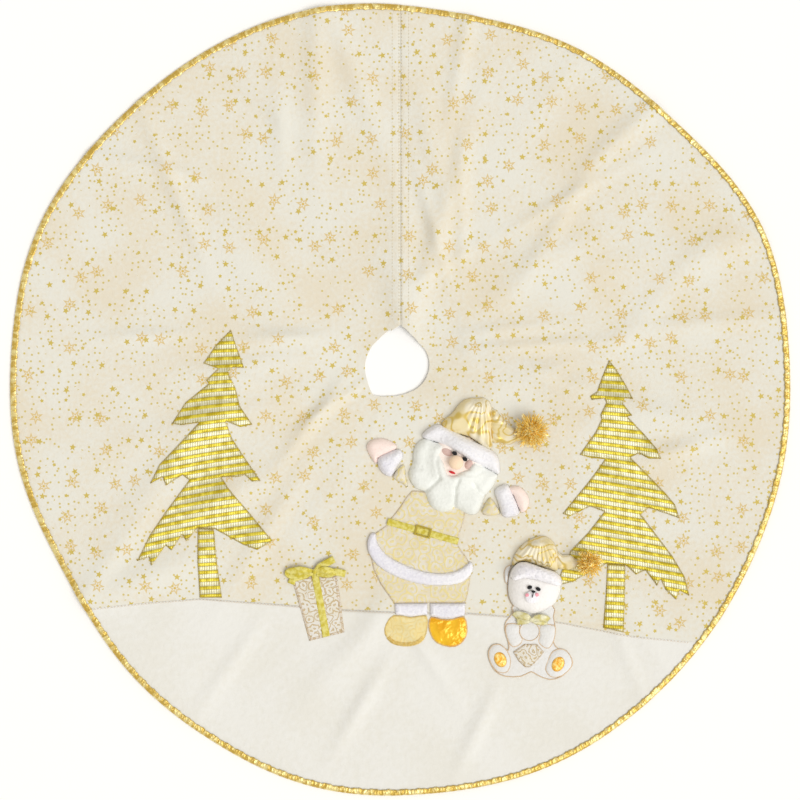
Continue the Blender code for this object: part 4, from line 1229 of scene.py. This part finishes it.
FACE = 17.0
ball("santa_nose_ball", (84.4, -98.4, 25), (10.9, 10.9, 8), "nose_jersey", ["santa_nose"])
for word, (x, y) in (("left", (82, -84.4)), ("right", (97.4, -93.4))):
    ball(f"santa_{word}_eye_bead", (x, y, FACE + 4.5), (4.2, 3.1, 3.4), "black_felt",
         [f"santa_{word}_eye"], -28)
# The two mauve patches beside the eyes are painted shade: skin that lies in shade, made as flat
# mauve pieces.
ball("santa_left_painted_shade", (71.0, -83.0, FACE - 1.3), (9.0, 6.0, 3.0), "mauve_painted_shade", turn=-25)
ball("santa_right_painted_shade", (103.5, -102.0, FACE - 1.3), (6.5, 8.0, 3.2), "mauve_painted_shade", turn=-25)
ball("santa_mouth", (78.2, -113.6, FACE + 3.6), (5.2, 1.9, 2.6), "red_thread", turn=-20)
print("set the face")

# %% [markdown]
# ## Hats
# Each hat is marbled satin, gathered to a point and stuffed. Gathers are pleats that fan out from
# the gathering stitch, so their height is a wave in the angle round that point. The end of the
# hat hangs free with a tinsel pompom on it.

# %% Hat helper
def gathers(centre, count, size, from_x, near=6.0, far=70.0):
    """Pleats that fan out from a gathering stitch; centre and distances in millimetres."""
    def pleats(points):
        x, y = points[:, 0] / MM - centre[0], points[:, 1] / MM - centre[1]
        reach = np.hypot(x, y)
        fade = np.clip((reach - near) / 8, 0, 1) * np.clip((far - reach) / 25, 0, 1)
        side = np.clip((points[:, 0] / MM - from_x) / 10, 0, 1)
        wave = np.cos(np.arctan2(y, x) * count + 0.3 * np.sin(reach / 14))
        return size * MM * wave * fade * side
    return pleats


def reach_back(node, by):
    """The outline of a hat's end, drawn back into the crown that it is sewn to."""
    outline = outline_of(node)
    low, high = outline[:, 0].min(), outline[:, 0].max()
    share = np.clip((outline[:, 0] - low) / (high - low) * 3, 0, 1)
    outline[:, 0] -= by * MM * (1 - share)
    return outline


stuffed("santa_hat_crown", "hat_satin", 0.0165, 0.0150, 0.0016, tuck=0.0020,
        swell=gathers((124, 6), 31, 1.5, 100, near=8, far=125.0))
stuffed("santa_hat_tip", "hat_satin", 0.0115, 0.0100, 0.0016,
        outline=reach_back("santa_hat_tip", 4.0),
        swell=gathers((112, -36), 30, 0.9, 130, near=10, far=110.0))
stuffed("bear_hat_crown", "hat_satin", 0.0165, 0.0140, 0.0016, tuck=0.0015,
        swell=gathers((213, -206), 34, 1.5, 165, near=8, far=110.0))
stuffed("bear_hat_tip", "hat_satin", 0.0095, 0.0080, 0.0014, on_applique,
        outline=reach_back("bear_hat_tip", 4.0),
        swell=gathers((222, -240), 18, 0.6, 200, near=10, far=110.0))
print("gathered the hats")

# %% Pompoms
SEWN_IN = 5.0                 # how far a pompom is drawn towards its hat, in millimetres
STRIP = 0.0013


def pompom(name, node, body, strands):
    """A ball of tinsel: short metal strips tied in the middle, and a core that fills it."""
    low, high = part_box(node)
    centre = np.array((low + high) / 2) - (SEWN_IN * MM, 0, 0)
    radius = (high.x - low.x) / 2
    floor_z = low.z + 0.4 * MM
    paths, tilts = [], []
    for _ in range(strands):
        up = random.uniform(-0.55, 1.0)
        turn = random.uniform(0, math.tau)
        flat = math.sqrt(max(0.0, 1 - up * up))
        way = np.array((flat * math.cos(turn), flat * math.sin(turn), up))
        bend = np.array([random.uniform(-0.3, 0.3) for _ in range(3)])
        reach = radius * random.uniform(0.9, 1.18)
        path = [centre + way * radius * 0.12, centre + (way + bend * 0.5) * reach * 0.55,
                centre + (way + bend * 0.8) * reach]
        for point in path:
            point[2] = max(point[2], floor_z)
        paths.append(path)
        tilts.append(random.uniform(0, math.pi))
    tufts = swept(name, paths, 0.0, "tinsel", body, STRIP, tilts)
    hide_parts(node)
    ball(f"{name}_core", centre / MM, (radius / MM * 0.55,) * 3, "tinsel", body=body, rings=10)
    return tufts


tufts = pompom("santa_pompom_tinsel", "santa_pompom", "santa_hat_pompom", 620)
pompom("bear_pompom_tinsel", "bear_pompom", "bear_hat_pompom", 440)
print("tinsel strips have", len(tufts.data.polygons), "faces")

# %% [markdown]
# ## The bear
# The bear sits below the right tree. Its body is flat plush with an embroidered outline, its
# limbs are lightly padded, and its head is stuffed. The face is three beads and a few stitches.

# %% Body and limbs
_, body_outline = applique("bear_body", "bear_plush", 0.003, puff=0.0014)
outline_thread("bear_body_line", body_outline, ON_CLOTH + 1.3 * MM, radius=0.0008)
for part in ("left_arm", "right_arm", "left_foot", "right_foot"):
    node = f"bear_{part}"
    _, outline = stuffed(node, "bear_plush", 0.0034, 0.0120, 0.0018, on_applique, fuzz=0.0002)
    outline_thread(f"{node}_line", outline, ON_APPLIQUE + 0.6 * MM, 0.0002, 0.0007)
for word in ("left", "right"):
    node = f"bear_{word}_sole"
    _, outline = applique(node, "sole_satin", 0.0016, 7.9 * MM, 0.0010, puff=0.0010)
    zigzag(f"{node}_stitch", outline, "satin_stitch", width=0.0016, pitch=0.0016, inset=0.0004,
           level=8.8 * MM, radius=0.00035)
_, outline = applique("bear_parcel", "brocade", 0.0022, ON_APPLIQUE + 0.6 * MM, 0.0020,
                      puff=0.0016)
zigzag("bear_parcel_stitch", outline, "tan_thread", width=0.0018, pitch=0.0022,
       level=ON_APPLIQUE + 2.6 * MM, radius=0.0003)
turns = np.linspace(0, math.tau, 40)
belly = np.column_stack([0.1965 + 0.0150 * np.cos(turns), -0.356 + 0.0145 * np.sin(turns)])
outline_thread("bear_belly_line", belly, ON_CLOTH + 2.9 * MM, 0.0, 0.0006, closed=False)
print("made the bear's body")

# %% Head, ear and face
def over_bear_head(points):
    """A smooth dome over the bear's head, for the fur brim that wraps it."""
    reach = np.hypot((points[:, 0] - 0.203) / 1.05, points[:, 1] + 0.289)
    share = np.clip((reach - 0.024) / 0.036, 0, 1)
    return ON_APPLIQUE + folds(points) + 0.0205 * (0.5 + 0.5 * np.cos(math.pi * share))


_, head_outline = stuffed("bear_head", "face_plush", 0.0200, 0.0330, 0.0020, on_applique,
                          fuzz=0.0005)
stuffed("bear_hat_brim", "bright_fur", 0.0080, 0.0080, 0.0016, over_bear_head, fuzz=0.0012,
        tuck=0.0015)
_, outline = stuffed("bear_left_ear", "bear_plush", 0.006, 0.006, 0.0018)
outline_thread("bear_left_ear_line", outline, ON_CLOTH + 0.5 * MM, -0.0002, 0.0006)
jaw = head_outline[(head_outline[:, 0] < 0.186) & (head_outline[:, 1] < -0.283)]
jaw = jaw[np.argsort(-jaw[:, 1])]
outline_thread("bear_head_line", jaw, ON_CLOTH + 0.6 * MM, -0.0012, closed=False)
BEAR_FACE = 25.0
ball("bear_muzzle_ball", (198.5, -302, 26.5), (10, 9.5, 3.6), "bright_fur", ["bear_muzzle"])
for number, (x, y, turn) in enumerate(((195.4, -287.2, 20), (208.3, -289.8, -25))):
    ball(f"bear_eye_{number}", (x, y, BEAR_FACE + 2), (3.9, 2.9, 2.2), "black_felt", turn=turn)
ball("bear_nose", (200.8, -293.2, BEAR_FACE + 5), (3.4, 1.9, 1.8), "black_felt", turn=-12)
nose_line = np.array([(200.6, -294, 31.2), (199.9, -298, 31.9), (198.8, -302, 31.9)]) * MM
swept("bear_nose_line", [nose_line], 0.0007, "black_thread")
for number, (x, y) in enumerate(((191.8, -298.9), (205.8, -298.4))):
    ball(f"bear_cheek_{number}", (x, y, BEAR_FACE + 3.0), (3.4, 3.0, 1.9), "pink_blush")
neck_runs = [
    [(199, -338, 12), (190, -333, 14), (178, -330, 12), (173, -334, 9)],
    [(199, -338, 12), (210, -335, 14), (220, -336, 12), (225, -340, 9)],
    [(199, -338, 11), (188, -340, 11), (177, -341, 9)],
    [(199, -338, 11), (211, -341, 11), (224, -341, 8)],
]
ribbon("bear_neck_bow", neck_runs, 0.0105, "pale_ribbon", "skirt", ["bear_bow"])
ball("bear_bow_knot", (199, -338, 12), (3.6, 3.2, 2.4), "pale_ribbon")
ball("gift_bow_knot_wrap", (*KNOT, 8.2), (3.2, 4.4, 2.6), "gold_ribbon", body="gift_bow_knot")
print("made the bear's head and bow")

# %% [markdown]
# ## Camera, floor and light
# The skirt is seen from straight above. A long lens at nearly three metres keeps the picture
# free of perspective. The light is soft and high: a warm sky fills the hollows and one broad sun
# from the lower right gives each fold and each stuffed shape a faint warm shade.

# %% Camera, floor and light
scene = bpy.context.scene
lens = bpy.data.cameras.new("camera")
lens.lens = 85
camera = bpy.data.objects.new("camera", lens)
VIEW_WIDTH = 1.2214           # width in metres that the picture shows
camera.location = (-0.0008, -0.0038, VIEW_WIDTH * lens.lens / lens.sensor_width)
scene.collection.objects.link(camera)
scene.camera = camera

shape = bmesh.new()
bmesh.ops.create_grid(shape, x_segments=2, y_segments=2, size=4.0)
bmesh.ops.translate(shape, vec=(0, 0, -0.4 * MM), verts=shape.verts)
net, shader, place = finish_of("floor_paint", rgb(255, 255, 255), 0.9)
speck = net.noise(place, 3.0, 1.0)
net.set(shader.inputs["Base Color"], net.mix(speck, (0.98, 0.98, 0.98, 1), (1, 1, 1, 1)))
floor = new_piece("floor", shape, "floor_paint")

sun = bpy.data.objects.new("sun", bpy.data.lights.new("sun", "SUN"))
sun.data.energy = 1.8
sun.data.angle = math.radians(40)
sun.data.color = (0.98, 0.99, 1.0)
sun.rotation_euler = Vector((-0.62, 0.35, -1.0)).to_track_quat("-Z", "Y").to_euler()
scene.collection.objects.link(sun)
world = bpy.data.worlds.new("studio")
world.use_nodes = True
scene.world = world
sky = world.node_tree.nodes["Background"]
sky.inputs["Color"].default_value = (1.0, 0.955, 0.875, 1.0)
sky.inputs["Strength"].default_value = 0.6
scene.view_settings.view_transform = "Standard"
print("camera at", [round(value, 3) for value in camera.location])
